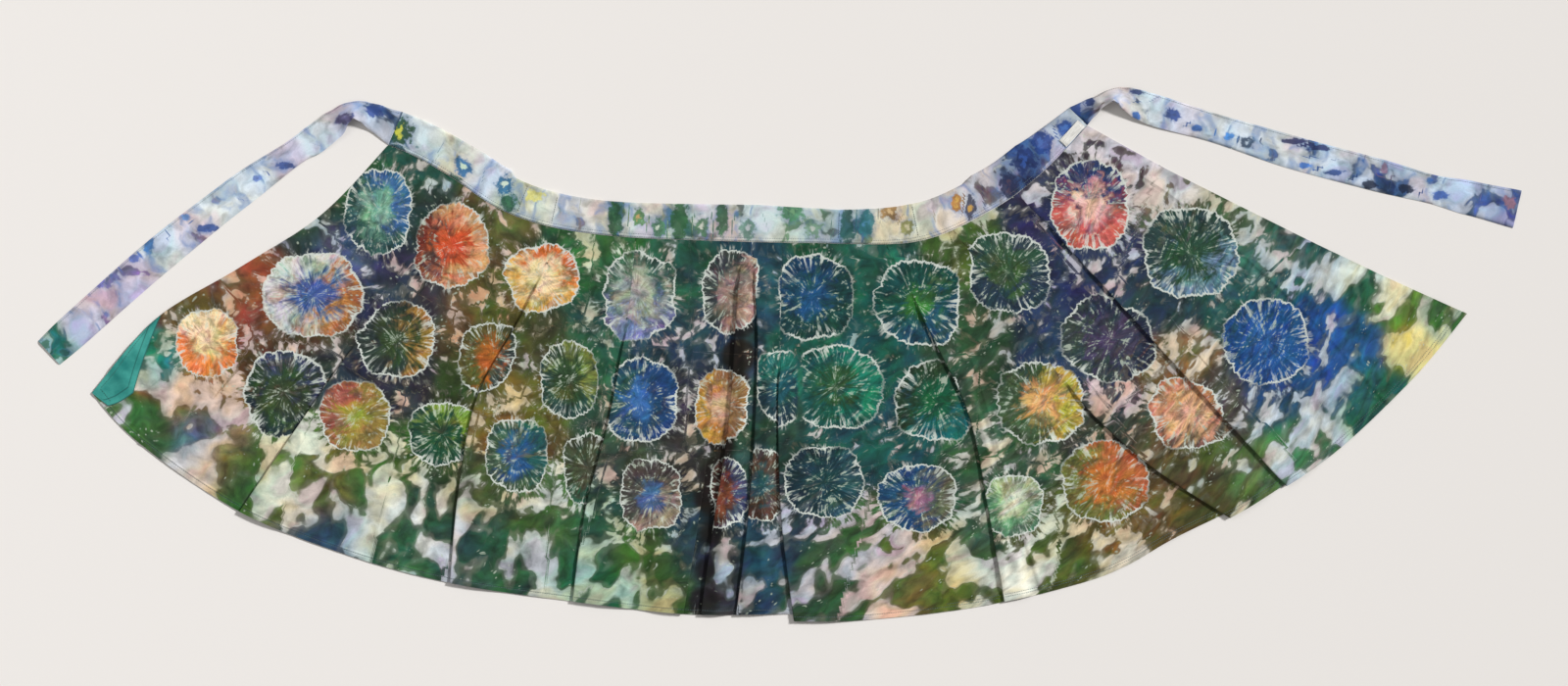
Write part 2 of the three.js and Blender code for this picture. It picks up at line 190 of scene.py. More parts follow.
def line(name, waist, hem, bow, on_top=None, start=0.0, depth=0.0, seam=False, hem_left=0, hem_right=0):
    """One row of the table: lengths along waist and hem, and how far the hem drops on each side."""
    return {"name": name, "waist": waist, "hem": hem, "bow": bow, "on_top": on_top, "start": start,
            "depth": depth, "seam": seam, "hem_left": hem_left, "hem_right": hem_right}


LINES = [
    line("left_edge", 0, 0, (15, -2, -22)),
    line("left_crease", 20, 99, (8, 2, 0), "none", 0.2, 1.2),
    line("left_pleat", 123, 274, (0, 0, 0), "right", 0.45, 20),
    line("left_mid_pleat", 277, 592, (-16, -42, -28), "right", 0.12, 20),
    line("left_seam", 384, 769, (8, 7, -4), "right", 0.22, 30, seam=True),
    line("back_tuck", 505, 926, (6, 12, 8), "left", 0.55, 6),
    line("back_pleat_left", 534, 953, (7, 11, 5), "right", 0.06, 18),
    line("back_pleat_right", 549, 1004, (15, 16, 11), "right", 0.06, 16),
    line("right_seam", 594, 1086, (-8, -14, -13), "right", 0.3, 30, seam=True, hem_right=10),
    line("right_mid_pleat", 741, 1388, (20, 36, 20), "right", 0.14, 30),
    line("right_mid_crease", 788, 1442, (14, 13, 3), "none", 0.3, 1.2),
    line("right_slant_pleat", 840, 1733, (-18, -38, -32), "right", 0.45, 34, hem_left=-4, hem_right=5),
    line("right_pleat", 945, 1825, (2, 1, 0), "right", 0.1, 8, hem_right=3),
    line("right_crease", 1060, 2010, (26, 28, 20), "none", 0.12, 1.2),
    line("right_edge", 1085, 2190, (-6, -7, -6)),
]
pleats = [row for row in LINES if row["on_top"] in ("left", "right")]
print("cloth hidden in pleats at the hem, in mm:", 2 * sum(row["depth"] for row in pleats))

# %% Places in a strip


def line_ends(i):
    """Where line i leaves the waist seam and meets the hem, and the direction to its right."""
    top, foot = waist_at(LINES[i]["waist"]), hem_at(LINES[i]["hem"])
    chord = (foot - top) / np.linalg.norm(foot - top)
    return top, foot, chord, np.array([-chord[1], chord[0]])


def line_point(i, v):
    """A chord from waist to hem, bowed to the right at a quarter, a half and three quarters."""
    top, foot, _, right = line_ends(i)
    bows = np.array([0, *LINES[i]["bow"], 0])
    share = np.linspace(0, 1, 5)[:, None]
    return spline(top + (foot - top) * share + right * bows[:, None], v)


def strip_point(i, across, v):
    """Straight across from line i to the next, with the waist's and the hem's curve added."""
    a, b = LINES[i], LINES[i + 1]
    start, end = line_point(i, v)[:, None], line_point(i + 1, v)[:, None]
    point = start + (end - start) * across[..., None]
    for at, key, weight in ((waist_at, "waist", 1 - v), (hem_at, "hem", v)):
        chord = mix(at(a[key]), at(b[key]), across[..., None])
        point = point + (at(mix(a[key], b[key], across)) - chord) * weight[:, None, None]
    return point


print("strips between lines:", len(LINES) - 1)

# %% [markdown]
# ## A pleat is one strip of cloth that turns twice
#
# Seen from the hem, the cloth runs under the pleat, turns back over itself through half a
# circle, and turns again to go on its way. Both turns are arcs of equal length whose angle
# opens from nothing at the pleat's start. The path is worked out for all rows at once.
# %% Fold path
TURN_RADIUS = 1.15
TURN_ARC = math.pi * TURN_RADIUS
TURN_STEPS = 7
FOLD_OPENING = 60.0  # from a pleat's start to where its fold is fully turned
LEAST_RUN = 0.05  # between the two turns, where a fold hides no cloth yet


def pleat_state(row, v):
    """Angle = pi x smooth(way past the start / 60 mm). Hidden cloth = depth x share of the way
    from where the fold is fully turned to the hem."""
    turn = math.pi * smooth((v - row["start"]) * DOWN_LENGTH / FOLD_OPENING)
    opened = row["start"] + FOLD_OPENING / DOWN_LENGTH
    return turn, row["depth"] * np.maximum(0, (v - opened) / (1 - opened))


def fold_path(row, v):
    """Place across, height and length so far: an arc (r sin a, r - r cos a) with r = arc / angle,
    a straight run back over the hidden cloth, and the same arc again, turned half round."""
    turn, hidden = (a[:, None] for a in pleat_state(row, v))
    radius = TURN_ARC / np.maximum(turn, 1e-4)
    share = np.linspace(0, 1, TURN_STEPS + 1)[None]
    arc_p, arc_z = radius * np.sin(turn * share), radius * (1 - np.cos(turn * share))
    whole_p, whole_z = arc_p[:, -1:], arc_z[:, -1:]
    begin = hidden - whole_p
    back_p = begin + whole_p + hidden * np.cos(turn) + LEAST_RUN
    back_z = whole_z + hidden * np.sin(turn)
    p = np.hstack([begin + arc_p, back_p + whole_p - arc_p[:, ::-1]])
    z = np.hstack([arc_z, back_z + whole_z - arc_z[:, ::-1]])
    along = np.hstack([TURN_ARC * share + 0 * turn, TURN_ARC * (1 + share) + hidden])
    if row["on_top"] == "left":
        p, z, along = -p[:, ::-1], z[:, ::-1], along[:, -1:] - along[:, ::-1]
    return p, z, along


print("a full turn stands", round(2 * TURN_ARC / math.pi, 2), "mm high")

# %% [markdown]
# ## One strip after another
#
# The cloth is gathered from the left edge to the right one: a fold, then the strip up to the
# next fold. For every point it keeps the plan, the height, and how far the cloth was shifted
# by the folds to its left. That shift, called unfold, gives the place on the cloth as it was
# cut and dyed, so that a fold can hide part of a dyed ring, as it does on the real skirt.
# %% Rows
ROWS_EVEN = 128
FIRST_ROW, LAST_EVEN_ROW = 0.6, 23  # below the waist seam, and above the hem


def row_shares():
    """Even rows down to the hem turning, and close ones across it and its stitches."""
    close = np.array([19, 16.5, 15, 14, 13, 12, 11.5, 11, 10.5, 10, 8, 6, 4, 2, 1, 0])
    even = np.linspace(FIRST_ROW, DOWN_LENGTH - LAST_EVEN_ROW, ROWS_EVEN)
    return np.concatenate([even, DOWN_LENGTH - close]) / DOWN_LENGTH


shares = row_shares()
print("rows from waist to hem:", len(shares))

# %% Cloth in a fold


def strip_width(i, v):
    """The length of the step from line i to the next one, for each row."""
    return np.linalg.norm(line_point(i + 1, v) - line_point(i, v), axis=1)


def fold_columns(i, v, shift):
    """A pleat's path laid across its line: plan, height, unfold, hem drop and strip number,
    with unfold = the shift so far + (length of cloth - place across) to the right."""
    row, left = LINES[i], max(0, i - 1)
    right = line_ends(i)[3]
    p, z, along = fold_path(row, v)
    here = strip_point(i, p / strip_width(i, v)[:, None], v)
    before = strip_point(left, 1 + p / strip_width(left, v)[:, None], v)
    plan = np.where(p[..., None] >= 0, here, before)
    extra = along - (p - p[:, :1])
    drop = np.linspace(row["hem_left"], row["hem_right"], p.shape[1])[None] + 0 * p
    unfold = shift[:, None] + extra[..., None] * right
    return (plan, z, unfold, drop, 0 * p + left + 0.5), shift + extra[:, -1:] * right


print("columns in a fold:", fold_path(LINES[2], shares)[0].shape[1])

# %% Cloth between folds
COLUMN_STEP = 4.3  # at the hem
MOST_OF_STRIP = 0.44  # of its width, that one fold may reach over
FOLD_CLEAR = 8.0  # beyond the hidden cloth, before the height starts to fall
FOLD_NEAR = 1.6  # from a fold's turn to the first even column
FOLD_FALL = 60.0  # the longest run over which the height falls
CREASE_HALF = 8.0


def fold_side(row, which, v, width):
    """How high a fold lifts this side of its line, and how far its hidden cloth reaches."""
    if row["on_top"] != which:
        return 0 * v, np.minimum(CREASE_HALF, MOST_OF_STRIP * width)
    reach = pleat_state(row, v)[1] + FOLD_CLEAR
    return fold_path(row, v)[1].max(axis=1), np.minimum(reach, MOST_OF_STRIP * width)


def strip_columns(i, v, shift):
    """Even columns to the next line. Height = top x (1 - (1 - a)(1 - b)), where a and b fall
    smoothly from the folds on the two lines, as shares of the higher one."""
    row, after = LINES[i], LINES[i + 1]
    width = strip_width(i, v)
    near, start = fold_side(row, "right", v, width)
    far, back = fold_side(after, "left", v, width)
    end = width - back
    first = FOLD_NEAR * (row["on_top"] in ("left", "right"))
    steps = max(4, round((after["hem"] - row["hem"]) / COLUMN_STEP))
    p = mix(first, width[:, None] - FOLD_NEAR, np.linspace(0, 1, steps + 1)[None])
    fall = np.clip(end - start, 2, FOLD_FALL)[:, None]
    top = np.maximum(np.maximum(near, far), 1e-6)[:, None]
    a = near[:, None] * (1 - smooth((p - start[:, None]) / fall)) / top
    b = far[:, None] * (1 - smooth((end[:, None] - p) / fall)) / top
    z = top * (1 - (1 - a) * (1 - b))
    if row["on_top"] == "none":
        ridge = row["depth"] * smooth((v - row["start"]) / 0.1)[:, None]
        z = z + ridge * np.exp(-((p / CREASE_HALF) ** 2) * 2)
    drop = mix(row["hem_right"], after["hem_left"], p / width[:, None])
    return strip_point(i, p / width[:, None], v), z, shift[:, None] + 0 * p[..., None], drop, 0 * p + i


hem_widths = [strip_width(i, shares)[-1] for i in range(len(LINES) - 1)]
print("widest strip at the hem in mm:", round(max(hem_widths)))

# %% Gather the cloth
SEAM_GAP = 0.3


def gather_cloth(v):
    """Folds and strips side by side, then each point moved down by its drop near the hem."""
    parts, seams, strip_shift = [], [], []
    shift = np.zeros((len(v), 2))
    for i, row in enumerate(LINES[:-1]):
        if row["on_top"] in ("left", "right"):
            if row["seam"]:
                seams.append(sum(part[1].shape[1] for part in parts))
            columns, shift = fold_columns(i, v, shift)
            parts.append(columns)
        strip_shift.append(shift)
        parts.append(strip_columns(i, v, shift))
    last, none = len(LINES) - 1, np.zeros((len(v), 1))
    parts.append((line_point(last, v)[:, None], none, shift[:, None], none, none + last - 1))
    plan, z, unfold, drop, strip = (np.concatenate(column, axis=1) for column in zip(*parts))
    down = np.array([line_ends(i)[2] for i in range(len(LINES))])
    steer = down[np.clip(np.round(strip).astype(int), 0, last)]
    plan = plan + steer * (drop * smooth((v[:, None] - 0.5) / 0.5))[..., None]
    return {"plan": plan, "z": z, "unfold": unfold, "strip": strip, "seams": seams,
            "strip_shift": np.array(strip_shift)}


cloth = gather_cloth(shares)
print("cloth grid:", cloth["z"].shape, "seams at columns", cloth["seams"])

# %% [markdown]
# ## Creases and waves
#
# Thin cotton never lies quite flat: it keeps pressed creases and lifts a little between its
# folds. Each crease is a short curve with a height and a width, steep on one side, and they
# are listed one by one. The waves are a few long sines that grow towards the hem.
# %% Crease table


def crease(path, height, width):
    """A crease: its path in frame pixels, and its height and width in millimetres."""
    return {"path": path, "height": height, "width": width}


CREASES = [
    crease([(300, 235), (280, 270), (258, 310), (205, 372), (143, 447)], 2.6, 10),
    crease([(191, 303), (235, 290), (300, 238)], 1.6, 12),
    crease([(330, 400), (304, 443), (246, 518)], 2.0, 14),
    crease([(440, 232), (385, 315), (330, 400)], 2.2, 10),
    crease([(480, 470), (488, 515), (487, 559)], 3.2, 10),
    crease([(558, 270), (543, 308), (527, 343)], 2.4, 9),
    crease([(628, 240), (633, 320), (632, 385)], 1.6, 9),
    crease([(735, 505), (738, 560), (735, 622)], 4.0, 10),
    crease([(766, 250), (763, 330), (760, 400), (752, 470), (742, 540), (730, 640)], 8.5, 11),
    crease([(784, 330), (790, 420), (782, 520), (775, 640)], 6.0, 10),
    crease([(843, 262), (846, 330), (843, 380)], 1.8, 9),
    crease([(996, 384), (1012, 437), (1027, 496), (1046, 565)], 3.4, 9),
    crease([(1018, 543), (1030, 562), (1047, 583)], 4.0, 8),
    crease([(1021, 548), (1024, 578), (1027, 607)], 3.2, 8),
    crease([(1032, 435), (1067, 448), (1101, 461), (1155, 476)], 3.6, 10),
    crease([(1100, 265), (1120, 240), (1132, 205)], 1.6, 12),
    crease([(1225, 225), (1267, 268), (1301, 303), (1336, 333), (1410, 405)], 2.6, 10),
    crease([(1336, 268), (1380, 281), (1427, 292)], 2.0, 9),
    crease([(1180, 560), (1200, 520), (1206, 470)], 1.6, 16),
    crease([(905, 250), (912, 330), (925, 420), (930, 520)], 1.4, 16),
    crease([(690, 250), (688, 350), (676, 470), (668, 600)], 1.8, 16),
    crease([(560, 400), (548, 480), (540, 600)], 1.6, 15),
    crease([(400, 480), (392, 530), (388, 578)], 2.0, 12),
]
# turns in a millimetre, lean, phase, height
WAVES = [(0.0105, 0.3, 1.0, 1.2), (0.0190, 0.9, 4.2, 0.9), (0.0067, -0.6, 2.4, 1.3)]
print("creases:", len(CREASES), "longest wave in mm:", round(1 / min(wave[0] for wave in WAVES)))

# %% Relief of creases and sewing
STEEP, SHALLOW = 0.55, 1.5  # times a crease's width, on its left side and on its right one
TAPER = 0.25  # share of its length over which a crease rises at each end
HEM_DEPTH, HEM_STITCH, HEM_RISE = 14.0, 11.0, 0.7  # up to the turning's edge, to its stitches; its step
STITCH_SINK, STITCH_HALF = 0.45, 1.3
HEM_PUCKER, WAIST_PUCKER = 0.28, 0.5
NEAR_HEM, NEAR_WAIST = 9, 26  # how far from its seam each pucker fades


def crease_height(plan, row):
    """Height x taper x exp(-(distance / width) squared), with the width x 0.55 on the curve's left
    and x 1.5 on its right, so that one side is steep."""
    path = spline(from_frame(*np.transpose(row["path"])), np.linspace(0, 1, 40))
    step = np.gradient(path, axis=0)
    apart = plan[..., None, :] - path
    distance = np.linalg.norm(apart, axis=-1)
    nearest = distance.argmin(axis=-1)
    near = np.take_along_axis(distance, nearest[..., None], axis=-1)[..., 0]
    away = np.take_along_axis(apart, nearest[..., None, None], axis=-2)[..., 0, :]
    way = step[nearest]
    side = way[..., 0] * away[..., 1] - way[..., 1] * away[..., 0]
    width = np.where(side > 0, row["width"] * STEEP, row["width"] * SHALLOW)
    share = nearest / (len(path) - 1)
    taper = smooth(share / TAPER) * smooth((1 - share) / TAPER)
    return row["height"] * taper * np.exp(-((near / width) ** 2))


def relief(plan, v):
    """The creases' sum + for each wave height x growth x (1/2 + sin / 2) squared."""
    lift = sum(crease_height(plan, row) for row in CREASES)
    grow = smooth((v[:, None] - 0.12) / 0.8) * (1 - 0.7 * smooth((v[:, None] - 0.9) / 0.1))
    x, y = plan[..., 0], plan[..., 1]
    for per_mm, lean, phase, height in WAVES:
        wave = 0.5 + 0.5 * np.sin(2 * math.pi * per_mm * (x + lean * y) + phase)
        lift = lift + height * grow * wave**2
    return lift


def sewing_relief(v, along):
    """A step for the hem's turning, - a bell curve for its stitches, + sines along both seams
    that fade away from them as bell curves do, for the pucker."""
    up = (1 - v[:, None]) * DOWN_LENGTH
    turning = HEM_RISE * smooth((HEM_DEPTH + 1 - up) / 1.5)
    sink = -STITCH_SINK * np.exp(-(((up - HEM_STITCH) / STITCH_HALF) ** 2))
    near_hem = np.exp(-(((up - HEM_STITCH) / NEAR_HEM) ** 2))
    near_waist = np.exp(-((v[:, None] * DOWN_LENGTH / NEAR_WAIST) ** 2))
    pucker = HEM_PUCKER * np.sin(along / 3.4 + 1.7 * np.sin(along / 23)) * near_hem
    waist = WAIST_PUCKER * (np.sin(along / 4.6 + 2.1 * np.sin(along / 31)) + 1) * near_waist
    return turning + sink + pucker + waist


cloth["cut"] = cloth["plan"] + cloth["unfold"]
steps_along = np.linalg.norm(np.diff(cloth["cut"], axis=1), axis=-1)
cloth["along"] = np.concatenate([np.zeros((len(shares), 1)), np.cumsum(steps_along, axis=1)], axis=1)
CLOTH_WALL = 0.8
TABLE_GAP = 0.15  # under the flattest cloth
cloth["height"] = (CLOTH_WALL / 2 + TABLE_GAP + cloth["z"] + relief(cloth["plan"], shares)
                   + sewing_relief(shares, cloth["along"]))
print("highest cloth in mm:", round(float(cloth["height"].max()), 1))

# %% [markdown]
# ## The dye: rings and pours
#
# The pattern is tied by hand: a pinch of cloth is bound with thread and dyed, and opens as a
# ring with a white line where the thread kept the dye out. Between the rings the dyes were
# poured on the folded cloth. Each ring is a row: its centre and half sizes in frame pixels, the
# colour at its heart and the colour round it. Each pour is a soft spot of a dark and a pale
# dye. They are stored on the mesh, and the material draws the wandering line and the rays.
# %% Ring and pour tables
# x, y, half width, half height, heart, body, side, the way the side colour lies, heart's share
RINGS = [
    (387, 215, 34, 42, "7aa894", "2c5450", "3a6a9c", 40, 0.50),
    (460, 250, 37, 42, "d4542f", "dca070", "7a3426", 175, 0.48),
    (552, 283, 38, 36, "f0d8a8", "e4ac58", "dc7434", 60, 0.60),
    (650, 300, 40, 43, "a8aaa0", "3a5f50", "7a84a8", -90, 0.60),
    (745, 298, 34, 42, "a08078", "3c4444", "b89484", -20, 0.45),
    (829, 303, 38, 44, "1f5884", "14403f", "164060", 120, 0.45),
    (936, 310, 43, 46, "3a7a34", "104c44", "1c5068", -70, 0.32),
    (1028, 278, 42, 42, "3c5a34", "243c4c", "30543f", 90, 0.45),
    (1112, 210, 40, 44, "f4c4b8", "cc6458", "2a3a6a", 90, 0.45),
    (1215, 258, 47, 46, "2a5038", "2a4644", "6a8ca0", -60, 0.50),
    (212, 350, 31, 33, "fbe0a8", "f08a48", "f8dcb0", 90, 0.42),
    (320, 300, 50, 42, "42609c", "d0d0cc", "b8743c", -20, 0.50),
    (405, 347, 40, 37, "3a4c2c", "2a3834", "a8803c", 0, 0.50),
    (503, 366, 33, 38, "c06a2c", "5c5a2c", "34443c", -20, 0.50),
    (580, 388, 28, 39, "30482c", "284840", "7a8440", 60, 0.50),
    (653, 408, 38, 42, "3a70ac", "1c4474", "24505c", 160, 0.40),
    (742, 415, 37, 37, "e0b48c", "a07448", "c89440", 200, 0.50),
    (795, 396, 27, 38, "1f5a64", "1c3c48", "1f6c64", 90, 0.40),
    (853, 395, 45, 43, "2f5a34", "0e544a", "188066", 20, 0.40),
    (955, 410, 40, 40, "0f6240", "203c28", "146c6c", -60, 0.45),
    (1063, 410, 43, 42, "f0b870", "40583a", "c4ac48", 0, 0.42),
    (1133, 345, 47, 42, "4c4460", "242c44", "3a4a44", 200, 0.50),
    (1292, 348, 41, 42, "2a64a8", "1a4c8c", "20589a", 0, 0.45),
    (1215, 420, 42, 37, "f0b890", "c4805c", "6a5444", -60, 0.60),
    (290, 400, 43, 42, "34482c", "223438", "3c4460", 60, 0.60),
    (362, 425, 36, 34, "9c9c3c", "9a8440", "a05c48", 160, 0.40),
    (452, 442, 33, 33, "1c4f34", "1e4e3a", "7a9a3a", 60, 0.50),
    (527, 465, 30, 38, "2c6494", "3c5840", "24605c", 40, 0.50),
    (600, 478, 26, 36, "4c5038", "3f4834", "2a604a", -60, 0.50),
    (665, 505, 32, 36, "4c70a0", "4a4642", "a08c7c", -50, 0.36),
    (735, 502, 30, 36, "8a4c34", "4a3028", "3c4468", 0, 0.50),
    (776, 495, 30, 36, "2f5a60", "54382c", "5a4438", 140, 0.40),
    (841, 492, 39, 35, "143c44", "122f3a", "2a505c", -20, 0.50),
    (937, 508, 40, 34, "b0788c", "1f4c74", "6a6c58", 0, 0.28),
    (1035, 515, 31, 31, "d8dcc0", "5a8a68", "a8bc90", 90, 0.45),
    (1128, 492, 42, 40, "d07838", "74783a", "c0683c", 30, 0.50),
]
POURS = [  # x, y, reach, dark dye, pale dye, how pale
    (120, 425, 16, "3f6a34", "c8c8c4", 0.80),
    (152, 428, 12, "2f5a30", "5a7a44", 0.15),
    (163, 372, 16, "1f6a60", "a0c0ac", 0.60),
    (160, 445, 16, "34502a", "6a7a44", 0.15),
    (195, 405, 34, "7a5a34", "d0a488", 0.85),
    (200, 450, 26, "4a5f78", "a8a4a8", 0.75),
    (228, 465, 22, "7a6a3f", "c8a080", 0.70),
    (245, 478, 20, "34602a", "5a8038", 0.15),
    (300, 470, 34, "4a6a2c", "d0d4b0", 0.85),
    (330, 495, 34, "5f5a2c", "d0b898", 0.62),
    (250, 300, 34, "7a4028", "c87850", 0.35),
    (220, 300, 26, "5a4a2a", "b8a084", 0.45),
    (300, 355, 34, "44341f", "c49c8c", 0.60),
    (330, 225, 34, "263c2c", "8a9a98", 0.30),
    (350, 255, 26, "3a3f64", "a8a4c0", 0.45),
    (365, 200, 24, "264a2c", "7a9a78", 0.35),
    (420, 160, 24, "1c4a3c", "a4bcbc", 0.45),
    (430, 230, 26, "243c34", "8a94a0", 0.20),
    (400, 280, 30, "2a2f44", "aca4b0", 0.40),
    (430, 310, 26, "2c3038", "a89a98", 0.35),
    (470, 320, 26, "4f4424", "b8845c", 0.40),
    (505, 230, 26, "54502a", "c8a088", 0.35),
    (512, 300, 26, "4a4a20", "b89468", 0.35),
    (510, 420, 26, "6a5424", "ccae74", 0.55),
    (480, 400, 24, "34401f", "a89874", 0.35),
    (405, 392, 24, "2a2c34", "a8988c", 0.35),
    (330, 380, 24, "243038", "b0a098", 0.40),
    (395, 470, 28, "365a24", "c8c48c", 0.60),
    (380, 520, 40, "2f5230", "bcc0b0", 0.50),
    (432, 532, 30, "2a4a38", "dce0dc", 0.92),
    (470, 560, 34, "26483c", "b8b0b8", 0.55),
    (340, 550, 30, "244458", "8aa0b0", 0.35),
    (400, 575, 30, "2a5a3a", "8aa894", 0.40),
    (480, 500, 26, "344426", "a8a87c", 0.40),
    (545, 420, 26, "54501f", "c0a45c", 0.50),
    (560, 530, 30, "3a5a2c", "c4c4b0", 0.60),
    (540, 580, 40, "285034", "a8b0a4", 0.50),
    (560, 350, 26, "3a401f", "a89878", 0.30),
    (600, 340, 30, "204c3a", "90a898", 0.35),
    (600, 250, 30, "26542f", "bcc89c", 0.45),
    (620, 430, 26, "2c4a34", "a89c88", 0.40),
    (612, 540, 30, "1f4a38", "7aa890", 0.45),
    (600, 590, 34, "1c5a3c", "84b498", 0.50),
    (645, 560, 26, "36581f", "a8b078", 0.45),
    (680, 580, 26, "2c4a20", "9aa868", 0.25),
    (640, 460, 26, "343c34", "a49c98", 0.40),
    (690, 350, 30, "1f3646", "a8a8bc", 0.42),
    (700, 400, 24, "2a2c3c", "b0a0a0", 0.50),
    (700, 450, 24, "2c2f2c", "a89488", 0.45),
    (700, 280, 26, "1f4a3c", "a0a8a8", 0.35),
    (705, 560, 26, "1c3440", "7a94a0", 0.35),
    (735, 570, 24, "26242a", "7a8090", 0.25),
    # These ten near-black pours along the back pleat's left fold are partly the dye in that fold and partly
    # painted shade of its deep valley.
    (753, 330, 6, "14181a", "3a3f44", 0.0),
    (750, 362, 7, "16120f", "3a2c24", 0.0),
    (745, 392, 7, "1a120c", "3a2818", 0.0),
    (740, 420, 8, "180f0a", "3a2818", 0.0),
    (736, 450, 8, "160e0a", "34241a", 0.0),
    (732, 480, 9, "140d0a", "34241a", 0.0),
    (728, 512, 9, "120c0a", "30221c", 0.0),
    (724, 545, 9, "120e0c", "30241f", 0.0),
    (720, 580, 8, "141214", "34302f", 0.0),
    (716, 612, 7, "16161a", "3a3a40", 0.0),
    (775, 440, 20, "1f3c34", "5a7a70", 0.15),
    (775, 560, 26, "1c3c50", "90a0b4", 0.50),
    (800, 540, 26, "243440", "b0aab8", 0.60),
    (770, 270, 24, "1a404c", "8a9ab0", 0.35),
    (840, 230, 30, "1c4c3c", "7a9a98", 0.30),
    (880, 250, 30, "1a5040", "84a4a4", 0.30),
    (882, 350, 34, "124c44", "5a8a84", 0.22),
    (900, 450, 34, "144444", "a0a4b0", 0.30),
    (890, 550, 34, "34542c", "b4aab4", 0.65),
    (850, 575, 30, "2c4a30", "a8a0a8", 0.50),
    (920, 570, 30, "5a5a28", "d0a890", 0.70),
    (965, 570, 26, "4a581f", "c8b870", 0.60),
    (990, 250, 26, "3a5424", "b0b47c", 0.45),
    (990, 350, 30, "26442c", "9a9484", 0.35),
    (1010, 470, 30, "2c4c34", "b0ac98", 0.45),
    (1000, 550, 30, "2c5038", "b4bca8", 0.55),
    (1040, 575, 26, "4a5a24", "d8d4bc", 0.80),
    (1090, 560, 30, "3f4c1f", "c4c8a0", 0.65),
    (1130, 545, 26, "6a5424", "c8b490", 0.60),
    (1075, 350, 26, "20344c", "8088a4", 0.30),
    (1080, 290, 30, "1f2c4c", "a09cb8", 0.35),
    (1060, 230, 26, "262c4c", "a8a0b4", 0.35),
    (1050, 190, 20, "2c2c40", "bcb0b8", 0.50),
    (1130, 270, 24, "24324c", "b4b0c0", 0.50),
    (1160, 170, 30, "4a3c44", "c8b8c0", 0.85),
    (1190, 200, 24, "5a5a44", "c4bcb8", 0.75),
    (1260, 215, 26, "3a5034", "b4b8a4", 0.60),
    (1137, 405, 16, "2a3040", "d4a8a4", 0.85),
    (1140, 440, 26, "30382c", "b09a88", 0.40),
    (1175, 310, 26, "20343f", "8490a0", 0.25),
    (1190, 370, 22, "6a5430", "ccb8a0", 0.70),
    (1180, 470, 26, "4f4424", "b8a488", 0.40),
    (1230, 480, 34, "40401f", "a0a084", 0.28),
    (1180, 530, 30, "5a4c24", "bca88c", 0.50),
    (1250, 420, 22, "3f3c38", "a8a4a8", 0.40),
    (1275, 290, 26, "24504c", "84a8a8", 0.35),
    (1300, 250, 26, "34584c", "a4b4bc", 0.72),
    (1340, 270, 30, "1f4c44", "a8b8c4", 0.55),
    (1350, 322, 24, "1a4880", "88a4c8", 0.30),
    (1355, 380, 30, "1f4a8c", "90a8c8", 0.45),
    (1300, 410, 26, "1f3f64", "9cacc0", 0.45),
    (1265, 470, 26, "4a6038", "a8b4ac", 0.45),
    (1320, 450, 30, "3a6444", "b0bcc0", 0.65),
    (1385, 290, 24, "1f5038", "c0ccb8", 0.60),
    (1390, 350, 20, "205484", "b8c48c", 0.40),
    (1425, 315, 20, "4f7030", "dcd8a8", 0.65),
    (1435, 352, 20, "7c841c", "dcc41c", 0.80),
    (1400, 400, 30, "1f5a4c", "9cb880", 0.50),
    (1475, 322, 18, "34582c", "a8b884", 0.45),
]
print("rings:", len(RINGS), "pours:", len(POURS))

# %% [markdown]
# For each point of the cloth the nearest ring is found, measured in that ring's own half sizes,
# so that 1 is on its line. A point in another strip is moved by the cloth that the folds
# between them hide. The distance to the second nearest ring tells where two rings part.
# %% Dye fields
NO_RING = 9.0
# Small pours count for more, so the near-black ones along the back pleat, partly painted shade, cover the
# dye round them.
POUR_USUAL = 28.0  # a smaller pour than this was poured on top, so it counts for more
BOXY = 2.4  # 2 is an ellipse; more is squarer, as a bound pinch of cloth opens
SEED_STEP, SEED_SPAN = 0.618, 10  # steps of the golden share never fall near each other
POUR_FALL = 1.6  # how fast a pour fades, with its reach as the unit
FAR_WEIGHT = 1e-7  # so that cloth beyond every pour takes the nearest one's colour


def ring_fields(cloth, rows):
    """r = (x to the 2.4 + y to the 2.4) to the 1 / 2.4, with x and y from a ring's middle in its
    half sizes. The ring with the least r gives a point its colours, and parting = second r - r."""
    plan, unfold = cloth["plan"], cloth["unfold"]
    shape = plan.shape[:2]
    best, second = np.full(shape, NO_RING), np.full(shape, NO_RING)
    lean, reach = np.zeros(shape), np.zeros(shape)
    offset = np.zeros(shape + (3,))
    heart, body, side = (np.zeros(shape + (3,)) for _ in range(3))
    for k, (x, y, half_w, half_h, heart_hex, body_hex, side_hex, way, share) in enumerate(rows):
        middle = from_frame(x, y)
        nearest = np.linalg.norm(plan - middle, axis=-1)
        nearest = np.where(np.abs(cloth["strip"] % 1) < 0.01, nearest, 1e9)
        home = int(cloth["strip"].ravel()[nearest.argmin()])
        apart = plan + unfold - cloth["strip_shift"][home][:, None] - middle
        own = apart / (np.array([half_w, half_h]) * PIXEL_MM)
        r = (np.abs(own) ** BOXY).sum(axis=-1) ** (1 / BOXY)
        own = own * (r / np.maximum(np.linalg.norm(own, axis=-1), 1e-6))[..., None]
        closer = r < best
        second = np.where(closer, best, np.minimum(second, r))
        best = np.where(closer, r, best)
        for field, code in ((heart, heart_hex), (body, body_hex), (side, side_hex)):
            field[closer] = linear(code)
        angle = math.radians(way)
        lean[closer] = (own @ [math.cos(angle), math.sin(angle)])[closer]
        reach[closer] = r[closer] / share
        seed = (k * SEED_STEP) % 1 * SEED_SPAN
        offset[closer] = np.concatenate([own, np.full(shape + (1,), seed)], axis=-1)[closer]
    return {"ring": offset, "ring_heart": heart, "ring_body": body, "ring_side": side,
            "ring_lean": lean, "ring_reach": reach, "parting": second - best}


